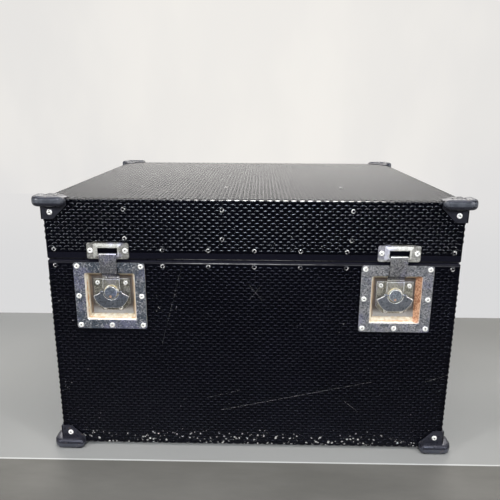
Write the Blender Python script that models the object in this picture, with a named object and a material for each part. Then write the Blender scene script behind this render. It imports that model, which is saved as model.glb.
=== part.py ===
"""A flight case: plywood box and lid under black embossed sheet, with rotary draw latches.

Metres, +Z up. The front faces -Y. The origin lies midway under the four bottom corner beads.
"""
import math

import bmesh
import bpy
from mathutils import Matrix, Vector

for leftover in list(bpy.data.objects):
    bpy.data.objects.remove(leftover, do_unlink=True)

# The case box
CASE_WIDTH = 0.635
CASE_DEPTH = 0.555
BASE_HEIGHT = 0.3216
LID_HEIGHT = 0.0944
SKIN_THICKNESS = 0.001
PANEL_THICKNESS = 0.009
FOLD_RADIUS = 0.0018
INNER_FOLD_RADIUS = 0.0003
SEAT = 0.0003
CUT_OVERRUN = 0.002

# The valance rims either side of the parting line
RIM_LEG = 0.0012
RIM_CHAMFER_RISE = 0.0028
RIM_CHAMFER_DEPTH = 0.0024
BASE_BAND = 0.0061
LID_BAND = 0.0116
BASE_WEB = 0.0035
LID_WEB = 0.0058
RIM_INNER_REACH = 0.014
TONGUE_INSET = 0.0045
TONGUE_WIDTH = 0.0028
TONGUE_HEIGHT = 0.0034
TONGUE_TAPER = 0.0006
GROOVE_CLEARANCE = 0.0006

# The corner pieces
CORNER_SHEET = 0.0024
CORNER_LENGTH = 0.037
CORNER_DROP = 0.031
CORNER_TIP = 0.0095
CORNER_TOE = 0.0150
BEAD_RADIUS = 0.008
BEAD_REACH = 0.0115
BEAD_DROP = 0.0025
BEAD_LENGTH = 0.028
BEAD_BEND = 0.0065
CORNER_RIVET_IN = 0.0105
CORNER_RIVET_DOWN = 0.0205
CORNER_RIVET_TOP = 0.0150

# The rotary latches
LATCH_FROM_SIDE = 0.095
SHEET = 0.0012
FLANGE_THICKNESS = 0.0015
FLANGE_BORDER = 0.016
FLANGE_BORDER_TOP = 0.0169
FLANGE_BORDER_FOOT = 0.0144
FLANGE_BELOW_PARTING = 0.0041
FLANGE_CORNER = 0.0045
PLATE_SIDE_MARGIN = 0.004
PLATE_TOP_MARGIN = 0.0052
PLATE_FOOT_MARGIN = 0.0061
MOUTH_CORNER = 0.003
WALL_LEAN = 0.007
DISH_RIVET_EDGE = 0.0060
DISH_RIVET_SINK = 0.0050
HUB_FACE_OUT = 0.0003
HUB_RIM = 0.00035
HUB_CHAMFER = 0.0008
CAM_WALL = 0.00065
CAM_THROW = 0.00275
CAM_SIDE_CLEARANCE = 0.0006
CAM_END_CLEARANCE = 0.0009
SPINDLE_RADIUS = 0.004
SPINDLE_TAIL = 0.0008
WING_RADIUS = 0.029
WING_THICKNESS = 0.003
WING_RECESS = 0.0015
WING_GAP = 0.0017
WING_PIN_RADIUS = 0.0012
WING_EAR_RADIUS = 0.0023
WING_EAR_LENGTH = 0.005
KNUCKLE_CLEARANCE = 0.0006
KNUCKLE_RADIUS = 0.0019
KNUCKLE_PIN_RADIUS = 0.0009
KNUCKLE_HEIGHT = 0.023
KNUCKLE_WIDTH = 0.012
KNUCKLE_SIDE_GAP = 0.0004
YOKE_RAIL = 0.00285
YOKE_THICKNESS = 0.0018
YOKE_FOOT = 0.0038
YOKE_NECK = 0.0024
YOKE_LIP = 0.0012
YOKE_LIP_RISE = 0.0012
YOKE_LIP_START = 0.0042
BASE_PLATE_WIDTH = 0.057
BASE_PLATE_TOP = 0.0205
BASE_PLATE_FOOT = 0.032
BASE_PLATE_CUT = 0.012
PLATE_RIVET_EDGE = 0.0063
PLATE_RIVET_UP = 0.014
PLATE_RIVET_FOOT_SPAN = 0.024
PLATE_RIVET_DOWN = 0.0275
STRAP_WIDTH = 0.0264
STRAP_THICKNESS = 0.0018
STRAP_STEP_CLEARANCE = 0.0036
STRAP_STEP_FALL = 0.0016
STRAP_SIDE_CLEARANCE = 0.001
NOTCH_HEADROOM = 0.0062
HOOK_INSET = 0.0007

# The keepers
KEEPER_WING = 0.01105
BOSS_BELOW_TOP = 0.001
KEEPER_SHEET = 0.0012
KEEPER_CORNER = 0.003
KEEPER_FOOT_ABOVE_PARTING = 0.0020
BOSS_BORDER = 0.0068
BOSS_ABOVE_WINDOW = 0.0081
BOSS_ABOVE_FOOT = 0.0030
BOSS_RISE = 0.0017
BOSS_BELOW_WINDOW = 0.0054
WINDOW_SIDE_CLEARANCE = 0.0012
WINDOW_HEADROOM = 0.0001
KEEPER_RIVET_EDGE = 0.00535
KEEPER_RIVET_UP = 0.0130

# The stop hinges
HINGE_FROM_SIDE = 0.1225
HINGE_WIDTH = 0.064
HINGE_LEAF_LENGTH = 0.042
HINGE_LEAF_THICKNESS = 0.0018
HINGE_BARREL_GAP = 0.0008
HINGE_BARREL_RADIUS = 0.0042
HINGE_PIN_RADIUS = 0.002
HINGE_KNUCKLE_GAP = 0.0004
HINGE_KNUCKLES = 5
HINGE_RIVET_EDGE = 0.010
HINGE_RIVET_FOOT = 0.010
HINGE_RIVET_ROW = 0.020
LID_OPENS = math.radians(100.0)
STOP_LIP_THICKNESS = 0.002
STOP_LIP_DEPTH = 0.0043
STOP_LIP_CLEARANCE = 0.0005

# The end handles
HANDLE_BELOW_PARTING = 0.120
HANDLE_BORDER_SIDE = 0.016
HANDLE_BORDER = 0.015
EAR_ROOM = 0.0038
HANDLE_MOUTH_HEIGHT = 0.080
HANDLE_DEPTH = 0.0165
HANDLE_WALL_LEAN = 0.004
HANDLE_RIVET_EDGE = 0.008
BAIL_RADIUS = 0.004
BAIL_SPAN = 0.100
BAIL_BEND = 0.007
BAIL_PIVOT_BELOW_EDGE = 0.010
BAIL_PIVOT_OUT = -0.006
BAIL_FINGER_ROOM = 0.024
BAIL_STUB = 0.0044
EAR_THICKNESS = 0.003
EAR_HALF_HEIGHT = 0.007
EAR_GAP = 0.0012
GRIP_RADIUS = 0.009
GRIP_LENGTH = 0.078
GRIP_GROOVE = 0.0008
GRIP_RIBS = 7

# The lining and the lid's brackets
FOAM_WALL = 0.012
FOAM_FLOOR = 0.015
LID_FOAM = 0.025
FOAM_RELIEF = 0.001
BRACKET_WIDTH = 0.020
BRACKET_SHEET = 0.002
BRACKET_FOOT_CLEARANCE = 0.0018
BRACKET_ARM = 0.140
BRACKET_RIVET_UPPER = 0.015
BRACKET_RIVET_LOWER = 0.060
BRACKET_RIVET_BACK = 0.1275

# Rivets
RIVET_RADIUS = 0.0047
RIVET_HEIGHT = 0.0020
SMALL_RIVET_RADIUS = 0.0035
SMALL_RIVET_HEIGHT = 0.0016
RIM_RIVET_RADIUS = 0.0027
RIM_RIVET_HEIGHT = 0.0014
RIM_RIVET_PITCH = 0.0706
RIM_RIVET_SHIFT = 0.0023
RIM_RIVET_EDGE = 0.0120
LID_RIM_RIVET_UP = 0.0164
BASE_RIM_RIVET_DOWN = 0.0092
SIDE_RIM_RIVET_PITCH = 0.125

# Shapes as shares of the sizes above, and counts of facets
BRACKET_CENTRE_SHARES = (-0.308, -0.074, 0.2355)
WING_OUTLINE_SHARES = ((0.60, 0.10), (0.97, -0.10), (0.93, -0.36), (0.78, -0.62), (0.50, -0.85))
RIVET_CROWN_SHARE = 0.55
PIN_CROWN_SHARE = 0.6
BEAD_INNER_SHARE = 0.9
BEAD_END_ANGLES = (math.radians(76.0), math.radians(50.0), math.radians(25.0))
BEAD_SIDES = 12
BEND_STEPS = 3
FOLD_STEPS = 3
RIVET_SIDES = 8
RIM_RIVET_SIDES = 6
PIN_SIDES = 10
HUB_SIDES = 20
HOLE_SIDES = 14
BAIL_SIDES = 8
GRIP_SIDES = 12
SMOOTH_ANGLE = math.radians(35.0)

# Places that follow from the sizes
FOOT_HEIGHT = BEAD_RADIUS - BEAD_DROP
CASE_BOTTOM = FOOT_HEIGHT
PARTING = CASE_BOTTOM + BASE_HEIGHT
CASE_TOP = PARTING + LID_HEIGHT
PANEL_INSET = SKIN_THICKNESS + SEAT
LINING_INSET = PANEL_INSET + PANEL_THICKNESS + SEAT
RIM_INSET = LINING_INSET + RIM_LEG
BASE_PANEL_TOP = PARTING - BASE_WEB - SEAT
LID_PANEL_FOOT = PARTING + LID_WEB + SEAT
MOUTH_WIDTH = BASE_PLATE_WIDTH + 2 * (WALL_LEAN + PLATE_SIDE_MARGIN)
MOUTH_ABOVE_HUB = BASE_PLATE_TOP + WALL_LEAN + PLATE_TOP_MARGIN
MOUTH_BELOW_HUB = BASE_PLATE_FOOT + WALL_LEAN + PLATE_FOOT_MARGIN
FLANGE_WIDTH = MOUTH_WIDTH + 2 * FLANGE_BORDER
FLANGE_ABOVE_HUB = MOUTH_ABOVE_HUB + FLANGE_BORDER_TOP
FLANGE_BELOW_HUB = MOUTH_BELOW_HUB + FLANGE_BORDER_FOOT
HUB_BELOW_PARTING = FLANGE_ABOVE_HUB + FLANGE_BELOW_PARTING
HUB_HEIGHT = PARTING - HUB_BELOW_PARTING
LATCH_ACROSS = CASE_WIDTH / 2 - LATCH_FROM_SIDE
HINGE_ACROSS = CASE_WIDTH / 2 - HINGE_FROM_SIDE
BRACKET_LEG = LID_HEIGHT - LINING_INSET - RIM_INNER_REACH - BRACKET_FOOT_CLEARANCE

# Sizes of the latch, hinge and handle that follow from their own parts
CAM_RADIUS = SPINDLE_RADIUS + CAM_THROW + CAM_WALL
HUB_RADIUS = CAM_RADIUS + CAM_THROW + HUB_RIM
YOKE_WIDTH = 2 * (CAM_RADIUS + CAM_THROW + CAM_SIDE_CLEARANCE + YOKE_RAIL)
STRAP_STEP_HEIGHT = WING_RADIUS + STRAP_STEP_CLEARANCE
WINDOW_WIDTH = STRAP_WIDTH + 2 * WINDOW_SIDE_CLEARANCE
WINDOW_HEIGHT = 2 * CAM_THROW + STRAP_THICKNESS + SEAT + WINDOW_HEADROOM
WINDOW_ABOVE_FOOT = BOSS_ABOVE_FOOT + BOSS_BELOW_WINDOW
BOSS_WIDTH = WINDOW_WIDTH + 2 * BOSS_BORDER
BOSS_HEIGHT = BOSS_BELOW_WINDOW + WINDOW_HEIGHT + BOSS_ABOVE_WINDOW
KEEPER_WIDTH = BOSS_WIDTH + 2 * KEEPER_WING
KEEPER_HEIGHT = BOSS_ABOVE_FOOT + BOSS_HEIGHT + BOSS_BELOW_TOP
HINGE_AXIS_OUT = HINGE_BARREL_RADIUS + HINGE_BARREL_GAP
STOP_LIP_REACH = HINGE_BARREL_RADIUS + STOP_LIP_CLEARANCE + STOP_LIP_DEPTH
HANDLE_MOUTH_WIDTH = BAIL_SPAN + 2 * (BAIL_RADIUS + EAR_GAP + EAR_THICKNESS + EAR_ROOM)
HANDLE_FLANGE_WIDTH = HANDLE_MOUTH_WIDTH + 2 * HANDLE_BORDER_SIDE
HANDLE_FLANGE_HEIGHT = HANDLE_MOUTH_HEIGHT + 2 * HANDLE_BORDER
BAIL_PIVOT_UP = HANDLE_MOUTH_HEIGHT / 2 - BAIL_PIVOT_BELOW_EDGE
BAIL_DROP = HANDLE_MOUTH_HEIGHT - BAIL_PIVOT_BELOW_EDGE - BAIL_FINGER_ROOM

# The latch's layers, measured outwards from the embossed sheet
FLANGE_BACK = SEAT
FLANGE_FACE = FLANGE_BACK + FLANGE_THICKNESS
WING_FACE = HUB_FACE_OUT - WING_RECESS
WING_BACK = WING_FACE - WING_THICKNESS
WING_PIN_OUT = WING_FACE - WING_THICKNESS / 2
KNUCKLE_OUT = WING_BACK - KNUCKLE_CLEARANCE - KNUCKLE_RADIUS
YOKE_BACK = KNUCKLE_OUT - KNUCKLE_RADIUS
YOKE_FACE = YOKE_BACK + YOKE_THICKNESS
HUB_BACK = YOKE_FACE + SEAT
BASE_PLATE_FACE = YOKE_BACK - SEAT
BASE_PLATE_BACK = BASE_PLATE_FACE - SHEET
DISH_FLOOR = BASE_PLATE_BACK - SEAT
DISH_BACK = DISH_FLOOR - SHEET
SPINDLE_END = DISH_BACK - SPINDLE_TAIL
KEEPER_FACE = SEAT + KEEPER_SHEET
BOSS_FACE = KEEPER_FACE + BOSS_RISE
STRAP_BACK = BOSS_FACE + SEAT
STRAP_FACE = STRAP_BACK + STRAP_THICKNESS
KEEPER_FOOT = HUB_BELOW_PARTING + KEEPER_FOOT_ABOVE_PARTING
WINDOW_FOOT = KEEPER_FOOT + WINDOW_ABOVE_FOOT
HOOK_FOOT = WINDOW_FOOT + SEAT
NOTCH_TOP = STRAP_STEP_HEIGHT + STRAP_THICKNESS + NOTCH_HEADROOM
NOTCH_HALF = STRAP_WIDTH / 2 + STRAP_SIDE_CLEARANCE


# Helpers that place a two-dimensional outline in space

def facing_out(across, up, out):
    """A point of an upright face: across it, up it and out of it."""
    return Vector((across, -out, up))


def along_width(out, up, across):
    """A point of a side view, swept across the width."""
    return Vector((across, -out, up))


def standing(across, back, up):
    """A point of a plan view at a height."""
    return Vector((across, back, up))


def circle(radius, sides, centre=(0, 0), flat=False):
    """Points of a regular polygon; flat puts facets, not corners, on the axes."""
    turn = math.pi / sides if flat else 0
    reach = radius / math.cos(math.pi / sides) if flat else radius
    points = []
    for side in range(sides):
        angle = turn + math.tau * side / sides
        points.append((centre[0] + reach * math.cos(angle), centre[1] + reach * math.sin(angle)))
    return points


def rounded_rectangle(half_x, half_y, radius, centre=(0, 0), steps=FOLD_STEPS):
    """Points of a rectangle with round corners, anticlockwise."""
    points = []
    for quadrant, (sign_x, sign_y) in enumerate(((1, 1), (-1, 1), (-1, -1), (1, -1))):
        corner_x = centre[0] + sign_x * (half_x - radius)
        corner_y = centre[1] + sign_y * (half_y - radius)
        for step in range(steps + 1):
            angle = (quadrant + step / steps) * math.pi / 2
            points.append((corner_x + radius * math.cos(angle), corner_y + radius * math.sin(angle)))
    return points


def rectangle(low_a, high_a, low_b, high_b):
    return [(low_a, low_b), (high_a, low_b), (high_a, high_b), (low_a, high_b)]


# Helpers that make meshes

def make_object(name, bm):
    bmesh.ops.remove_doubles(bm, verts=bm.verts, dist=SEAT / 1000)
    bmesh.ops.recalc_face_normals(bm, faces=bm.faces)
    mesh = bpy.data.meshes.new(name)
    bm.to_mesh(mesh)
    bm.free()
    made = bpy.data.objects.new(name, mesh)
    bpy.context.scene.collection.objects.link(made)
    return made


def add_loft(bm, loops, ring=False):
    """Skin a row of loops; a ring closes on itself, other lofts get end caps."""
    rows = [[bm.verts.new(point) for point in loop] for loop in loops]
    count = len(rows[0])
    pairs = list(zip(rows, rows[1:]))
    if ring:
        pairs.append((rows[-1], rows[0]))
    for first, second in pairs:
        for index in range(count):
            following = (index + 1) % count
            bm.faces.new((first[index], first[following], second[following], second[index]))
    if not ring:
        bm.faces.new(rows[0])
        bm.faces.new(rows[-1])


def loft(name, loops, ring=False):
    bm = bmesh.new()
    add_loft(bm, loops, ring)
    return make_object(name, bm)


def extrude(name, outline, start, end, place):
    """Extrude an outline between two levels, placed in space by one of the helpers above."""
    loops = [[place(a, b, level) for a, b in outline] for level in (start, end)]
    return loft(name, loops)


def box(name, low, high):
    return extrude(name, rectangle(low[0], high[0], low[1], high[1]), low[2], high[2], standing)


def settle(target):
    """Turn an object's modifiers into its mesh."""
    graph = bpy.context.evaluated_depsgraph_get()
    settled = bpy.data.meshes.new_from_object(target.evaluated_get(graph))
    target.modifiers.clear()
    target.data = settled


def combine(target, tools, operation):
    """Boolean each tool onto the target in turn, then delete the tools."""
    for tool in tools:
        modifier = target.modifiers.new(operation.title(), "BOOLEAN")
        modifier.operation = operation
        modifier.solver = "EXACT"
        modifier.object = tool
    bpy.context.view_layer.update()
    settle(target)
    for tool in tools:
        bpy.data.objects.remove(tool, do_unlink=True)
    return target


def cut(target, *tools):
    return combine(target, tools, "DIFFERENCE")


def fuse(target, *tools):
    return combine(target, tools, "UNION")


# Materials

def make_material(name, colour, roughness, metallic):
    material = bpy.data.materials.new(name)
    material.use_nodes = True
    shader = material.node_tree.nodes["Principled BSDF"]
    shader.inputs["Base Color"].default_value = (*colour, 1.0)
    shader.inputs["Roughness"].default_value = roughness
    shader.inputs["Metallic"].default_value = metallic
    return material


EMBOSSED_BLACK = ((0.012, 0.012, 0.018), 0.25, 0.0)
RIM_BLACK = ((0.015, 0.015, 0.020), 0.35, 0.0)
CORNER_BLACK = ((0.030, 0.030, 0.034), 0.45, 0.0)
PLYWOOD = ((0.55, 0.38, 0.22), 0.7, 0.0)
FOAM_GREY = ((0.08, 0.08, 0.09), 0.95, 0.0)
ZINC = ((0.42, 0.42, 0.45), 0.45, 0.9)
BRIGHT_STEEL = ((0.75, 0.75, 0.74), 0.3, 1.0)
BRASS_STEEL = ((0.62, 0.55, 0.38), 0.35, 1.0)
GRIP_RUBBER = ((0.02, 0.02, 0.02), 0.8, 0.0)


def finish(piece, look, frame=None, origin=(0, 0, 0)):
    """Give a piece its material, smooth its round faces and hang it on its frame."""
    colour, roughness, metallic = look
    piece.data.materials.clear()
    piece.data.materials.append(make_material(piece.name, colour, roughness, metallic))
    piece.data.shade_smooth()
    piece.data.set_sharp_from_angle(angle=SMOOTH_ANGLE)
    start = Vector(origin)
    piece.data.transform(Matrix.Translation(-start))
    piece.location = start
    if frame is not None:
        piece.parent = frame
    return piece


def face_frame(name, turn, across, height):
    """An empty on one upright face of the case, whose own -Y points out of that face."""
    reach = CASE_DEPTH / 2 if turn in (0, math.pi) else CASE_WIDTH / 2
    frame = bpy.data.objects.new(name, None)
    bpy.context.scene.collection.objects.link(frame)
    turned = Matrix.Rotation(turn, 4, "Z")
    frame.location = turned @ Vector((across, -reach, height))
    frame.rotation_euler = (0, 0, turn)
    return frame


FRONT = 0
BACK = math.pi
LEFT = -math.pi / 2
RIGHT = math.pi / 2


# Rivet heads, fused with the sheet that they hold

def rivet_heads(places, radius, height, sides=RIVET_SIDES):
    """Domed heads, each rooted in the face whose outward side is its place's own -Y."""
    levels = ((radius, -SEAT), (radius * RIVET_CROWN_SHARE, height))
    bm = bmesh.new()
    for place in places:
        loops = []
        for ring_radius, out in levels:
            points = circle(ring_radius, sides, flat=True)
            loops.append([place @ facing_out(x, z, out) for x, z in points])
        add_loft(bm, loops)
    return make_object("rivet_heads", bm)


def spot(across, up, out):
    """A place on a face's own frame."""
    return Matrix.Translation(facing_out(across, up, out))


def on_face(turn, across, height):
    """A place on one upright face of the case."""
    reach = CASE_DEPTH / 2 if turn in (FRONT, BACK) else CASE_WIDTH / 2
    turned = Matrix.Rotation(turn, 4, "Z")
    return turned @ Matrix.Translation((across, -reach, height))


def rim_rivet_places(height):
    edge = CASE_WIDTH / 2 - RIM_RIVET_EDGE
    places = [on_face(FRONT, RIM_RIVET_SHIFT + step * RIM_RIVET_PITCH, height)
              for step in range(-2, 3)]
    places += [on_face(BACK, step * RIM_RIVET_PITCH, height) for step in range(-1, 2)]
    places += [on_face(turn, across, height) for turn in (FRONT, BACK) for across in (-edge, edge)]
    places += [on_face(turn, step * SIDE_RIM_RIVET_PITCH, height)
               for turn in (LEFT, RIGHT) for step in (-1.5, -0.5, 0.5, 1.5)]
    return places


def bracket_rivet_places():
    turn_up = Matrix.Rotation(-math.pi / 2, 4, "X")
    places = []
    for share in BRACKET_CENTRE_SHARES:
        centre = share * CASE_WIDTH
        for down in (BRACKET_RIVET_UPPER, BRACKET_RIVET_LOWER):
            places.append(on_face(FRONT, centre, CASE_TOP - down))
        back = -CASE_DEPTH / 2 + BRACKET_RIVET_BACK
        places.append(Matrix.Translation((centre, back, CASE_TOP)) @ turn_up)
    return places


# Shell: sheet, panels and rims

def shell_loop(inset, height):
    """A loop round the case; the sheet's inner side folds tighter than its outer side."""
    inside = inset == SKIN_THICKNESS
    radius = INNER_FOLD_RADIUS if inside else max(FOLD_RADIUS - inset, INNER_FOLD_RADIUS)
    points = rounded_rectangle(CASE_WIDTH / 2 - inset, CASE_DEPTH / 2 - inset, radius)
    return [standing(x, y, height) for x, y in points]


def skin_loops(closed_end, open_end):
    """Loops of a folded sheet tray, from its closed face, round its rim and back inside."""
    inward = 1 if open_end > closed_end else -1
    loops = []
    for step in range(FOLD_STEPS + 1):
        angle = math.pi / 2 * step / FOLD_STEPS
        inset = FOLD_RADIUS * (1 - math.sin(angle))
        loops.append(shell_loop(inset, closed_end + inward * FOLD_RADIUS * (1 - math.cos(angle))))
    loops.append(shell_loop(0, open_end))
    loops.append(shell_loop(SKIN_THICKNESS, open_end))
    loops.append(shell_loop(SKIN_THICKNESS, closed_end + inward * SKIN_THICKNESS))
    return loops


def rim_ring(name, profile):
    """Sweep a rim's section, given as inset and height from the parting line, round the case."""
    loops = [shell_loop(inset, PARTING + height) for inset, height in profile]
    return loft(name, loops, ring=True)


def build_rims():
    half_seam = SEAT / 2
    tongue_end = TONGUE_INSET + TONGUE_WIDTH
    inner_face = RIM_INSET - RIM_LEG
    base_profile = (
        (0, -BASE_BAND),
        (0, -RIM_CHAMFER_RISE),
        (RIM_CHAMFER_DEPTH, -half_seam),
        (TONGUE_INSET, -half_seam),
        (TONGUE_INSET + TONGUE_TAPER, TONGUE_HEIGHT),
        (tongue_end - TONGUE_TAPER, TONGUE_HEIGHT),
        (tongue_end, -half_seam),
        (RIM_INSET, -half_seam),
        (RIM_INSET, -RIM_INNER_REACH),
        (inner_face, -RIM_INNER_REACH),
        (inner_face, -BASE_WEB),
        (SKIN_THICKNESS, -BASE_WEB),
        (SKIN_THICKNESS, -BASE_BAND),
    )
    groove_start = TONGUE_INSET - GROOVE_CLEARANCE
    groove_end = tongue_end + GROOVE_CLEARANCE
    groove_height = TONGUE_HEIGHT + GROOVE_CLEARANCE
    lid_profile = (
        (0, LID_BAND),
        (0, RIM_CHAMFER_RISE),
        (RIM_CHAMFER_DEPTH, half_seam),
        (groove_start, half_seam),
        (groove_start, groove_height),
        (groove_end, groove_height),
        (groove_end, half_seam),
        (RIM_INSET, half_seam),
        (RIM_INSET, RIM_INNER_REACH),
        (inner_face, RIM_INNER_REACH),
        (inner_face, LID_WEB),
        (SKIN_THICKNESS, LID_WEB),
        (SKIN_THICKNESS, LID_BAND),
    )
    finish(rim_ring("base_rim", base_profile), RIM_BLACK)
    finish(rim_ring("lid_rim", lid_profile), RIM_BLACK)


def latch_cutter(name, grow, frame_x):
    """A block as wide as the dish's body, with the strap's notch above it."""
    half_mouth = MOUTH_WIDTH / 2 + SHEET + grow
    top = MOUTH_ABOVE_HUB + SHEET + grow
    foot = -MOUTH_BELOW_HUB - SHEET - grow
    notch = NOTCH_HALF + grow
    outline = [
        (-half_mouth, foot), (half_mouth, foot), (half_mouth, top), (notch, top),
        (notch, NOTCH_TOP + grow), (-notch, NOTCH_TOP + grow), (-notch, top), (-half_mouth, top),
    ]
    start = CUT_OVERRUN
    end = -LINING_INSET - CUT_OVERRUN
    cutter = extrude(name, outline, start, end, facing_out)
    cutter.data.transform(Matrix.Translation((frame_x, -CASE_DEPTH / 2, HUB_HEIGHT)))
    return cutter


def handle_cutter(name, grow, side):
    half_width = HANDLE_MOUTH_WIDTH / 2 + SHEET + grow
    half_height = HANDLE_MOUTH_HEIGHT / 2 + SHEET + grow
    middle = PARTING - HANDLE_BELOW_PARTING
    near = CASE_WIDTH / 2 - LINING_INSET - CUT_OVERRUN
    far = CASE_WIDTH / 2 + CUT_OVERRUN
    low_x, high_x = sorted((side * near, side * far))
    low = (low_x, -half_width, middle - half_height)
    high = (high_x, half_width, middle + half_height)
    return box(name, low, high)


def build_skins():
    base_top = PARTING - BASE_BAND - SEAT
    base_skin = loft("base_skin", skin_loops(CASE_BOTTOM, base_top))
    cutters = [latch_cutter("skin_opening", SEAT, side * LATCH_ACROSS) for side in (-1, 1)]
    cutters += [handle_cutter("skin_opening", SEAT, side) for side in (-1, 1)]
    cut(base_skin, *cutters)
    base_places = rim_rivet_places(PARTING - BASE_RIM_RIVET_DOWN)
    fuse(base_skin, rivet_heads(base_places, RIM_RIVET_RADIUS, RIM_RIVET_HEIGHT, RIM_RIVET_SIDES))
    finish(base_skin, EMBOSSED_BLACK)
    lid_skin = loft("lid_skin", skin_loops(CASE_TOP, PARTING + LID_BAND + SEAT))
    lid_places = rim_rivet_places(PARTING + LID_RIM_RIVET_UP) + bracket_rivet_places()
    fuse(lid_skin, rivet_heads(lid_places, RIM_RIVET_RADIUS, RIM_RIVET_HEIGHT, RIM_RIVET_SIDES))
    finish(lid_skin, EMBOSSED_BLACK)


def build_box_panels(prefix, flat_name, flat_face, edge):
    """Five boards: one flat board and four walls, butted inside the folded sheet."""
    inward = 1 if edge > flat_face else -1
    half_width = CASE_WIDTH / 2 - PANEL_INSET
    half_depth = CASE_DEPTH / 2 - PANEL_INSET
    flat_far = flat_face + inward * PANEL_THICKNESS
    wall_start = flat_far + inward * SEAT
    flat_low, flat_high = sorted((flat_face, flat_far))
    wall_low, wall_high = sorted((wall_start, edge))
    inner_depth = half_depth - PANEL_THICKNESS
    inner_width = half_width - PANEL_THICKNESS
    boards = {}
    boards[flat_name] = box(
        f"{prefix}_{flat_name}_panel",
        (-half_width, -half_depth, flat_low), (half_width, half_depth, flat_high))
    boards["front"] = box(
        f"{prefix}_front_panel",
        (-half_width, -half_depth, wall_low), (half_width, -inner_depth, wall_high))
    boards["back"] = box(
        f"{prefix}_back_panel",
        (-half_width, inner_depth, wall_low), (half_width, half_depth, wall_high))
    side_depth = inner_depth - SEAT
    boards["left"] = box(
        f"{prefix}_left_panel",
        (-half_width, -side_depth, wall_low), (-inner_width, side_depth, wall_high))
    boards["right"] = box(
        f"{prefix}_right_panel",
        (inner_width, -side_depth, wall_low), (half_width, side_depth, wall_high))
    return boards


def build_panels():
    base = build_box_panels("base", "bottom", CASE_BOTTOM + PANEL_INSET, BASE_PANEL_TOP)
    cut(base["front"], *[latch_cutter("panel_opening", SEAT, side * LATCH_ACROSS)
                         for side in (-1, 1)])
    cut(base["left"], handle_cutter("panel_opening", SEAT, -1))
    cut(base["right"], handle_cutter("panel_opening", SEAT, 1))
    lid = build_box_panels("lid", "top", CASE_TOP - PANEL_INSET, LID_PANEL_FOOT)
    for board in list(base.values()) + list(lid.values()):
        finish(board, PLYWOOD)


# Corner pieces

def trim_prism(first, second, reach, start, end, place):
    """A prism beyond the line from first to second, on its left-hand side."""
    along = Vector((second[0] - first[0], second[1] - first[1])).normalized()
    beyond = Vector((-along.y, along.x)) * reach
    near = Vector(first) - along * reach
    far = Vector(second) + along * reach
    outline = [tuple(near), tuple(far), tuple(far + beyond), tuple(near + beyond)]
    return extrude("corner_trim", outline, start, end, place)


def bead_loops():
    """Rings of the rounded bead, from one domed end, round the corner, to the other."""
    out = BEAD_REACH - BEAD_RADIUS
    section = circle(BEAD_RADIUS, BEAD_SIDES, flat=True)
    stations = []
    for angle in BEAD_END_ANGLES:
        end = Vector((BEAD_LENGTH + BEAD_RADIUS * math.sin(angle), -out))
        stations.append((end, Vector((0, -1)), math.cos(angle)))
    stations.append((Vector((BEAD_LENGTH, -out)), Vector((0, -1)), 1))
    middle = Vector((BEAD_BEND - out, BEAD_BEND - out))
    for step in range(BEND_STEPS + 1):
        angle = math.pi / 2 * step / BEND_STEPS
        outward = Vector((-math.sin(angle), -math.cos(angle)))
        stations.append((middle + outward * BEAD_BEND, outward, 1))
    stations.append((Vector((-out, BEAD_LENGTH)), Vector((-1, 0)), 1))
    for angle in reversed(BEAD_END_ANGLES):
        end = Vector((-out, BEAD_LENGTH + BEAD_RADIUS * math.sin(angle)))
        stations.append((end, Vector((-1, 0)), math.cos(angle)))
    loops = []
    for middle, outward, scale in stations:
        loop = []
        for away, up in section:
            reach = max(away, -BEAD_BEND * BEAD_INNER_SHARE)
            spot = middle + outward * reach * scale
            loop.append(standing(spot.x, spot.y, up * scale - BEAD_DROP))
        loops.append(loop)
    return loops


def corner_mesh():
    """The top front left corner piece, with the case's own corner at its origin."""
    skin = CORNER_SHEET + SEAT
    block = box("corner", (-skin, -skin, -CORNER_DROP), (CORNER_LENGTH, CORNER_LENGTH, skin))
    low = -skin - CUT_OVERRUN
    front = trim_prism((CORNER_LENGTH, -CORNER_TIP), (CORNER_TOE, -CORNER_DROP), CORNER_LENGTH,
                       skin + CUT_OVERRUN, SEAT / 2, facing_out)
    side = trim_prism((CORNER_LENGTH, -CORNER_TIP), (CORNER_TOE, -CORNER_DROP), CORNER_LENGTH,
                      low, -SEAT / 2, lambda back, up, across: Vector((across, back, up)))
    top = trim_prism((CORNER_TIP, CORNER_LENGTH), (CORNER_LENGTH, CORNER_TIP), CORNER_LENGTH,
                     SEAT / 2, skin + CUT_OVERRUN, standing)
    bead = loft("bead", bead_loops())
    far = CORNER_LENGTH + BEAD_RADIUS + CUT_OVERRUN
    case_corner = box("case_corner", (-SEAT, -SEAT, -far), (far, far, SEAT))
    cut(block, front, side, top)
    fuse(block, bead)
    cut(block, case_corner)
    turn_left = Matrix.Rotation(-math.pi / 2, 4, "Z")
    turn_up = Matrix.Rotation(-math.pi / 2, 4, "X")
    places = (
        spot(CORNER_RIVET_IN, -CORNER_RIVET_DOWN, skin),
        Matrix.Translation((-skin, CORNER_RIVET_IN, -CORNER_RIVET_DOWN)) @ turn_left,
        Matrix.Translation((CORNER_RIVET_TOP, CORNER_RIVET_TOP, skin)) @ turn_up,
    )
    fuse(block, rivet_heads(places, RIVET_RADIUS, RIVET_HEIGHT))
    mesh = block.data
    bpy.data.objects.remove(block, do_unlink=True)
    return mesh


def corner_transform(side_x, side_y, level):
    """Carries the top front left corner to any corner; side_x and side_y point away from it."""
    height = CASE_TOP if level > 0 else CASE_BOTTOM
    place = Matrix.Translation((side_x * CASE_WIDTH / 2, side_y * CASE_DEPTH / 2, height))
    return place @ Matrix.Diagonal((-side_x, -side_y, level, 1))


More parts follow.
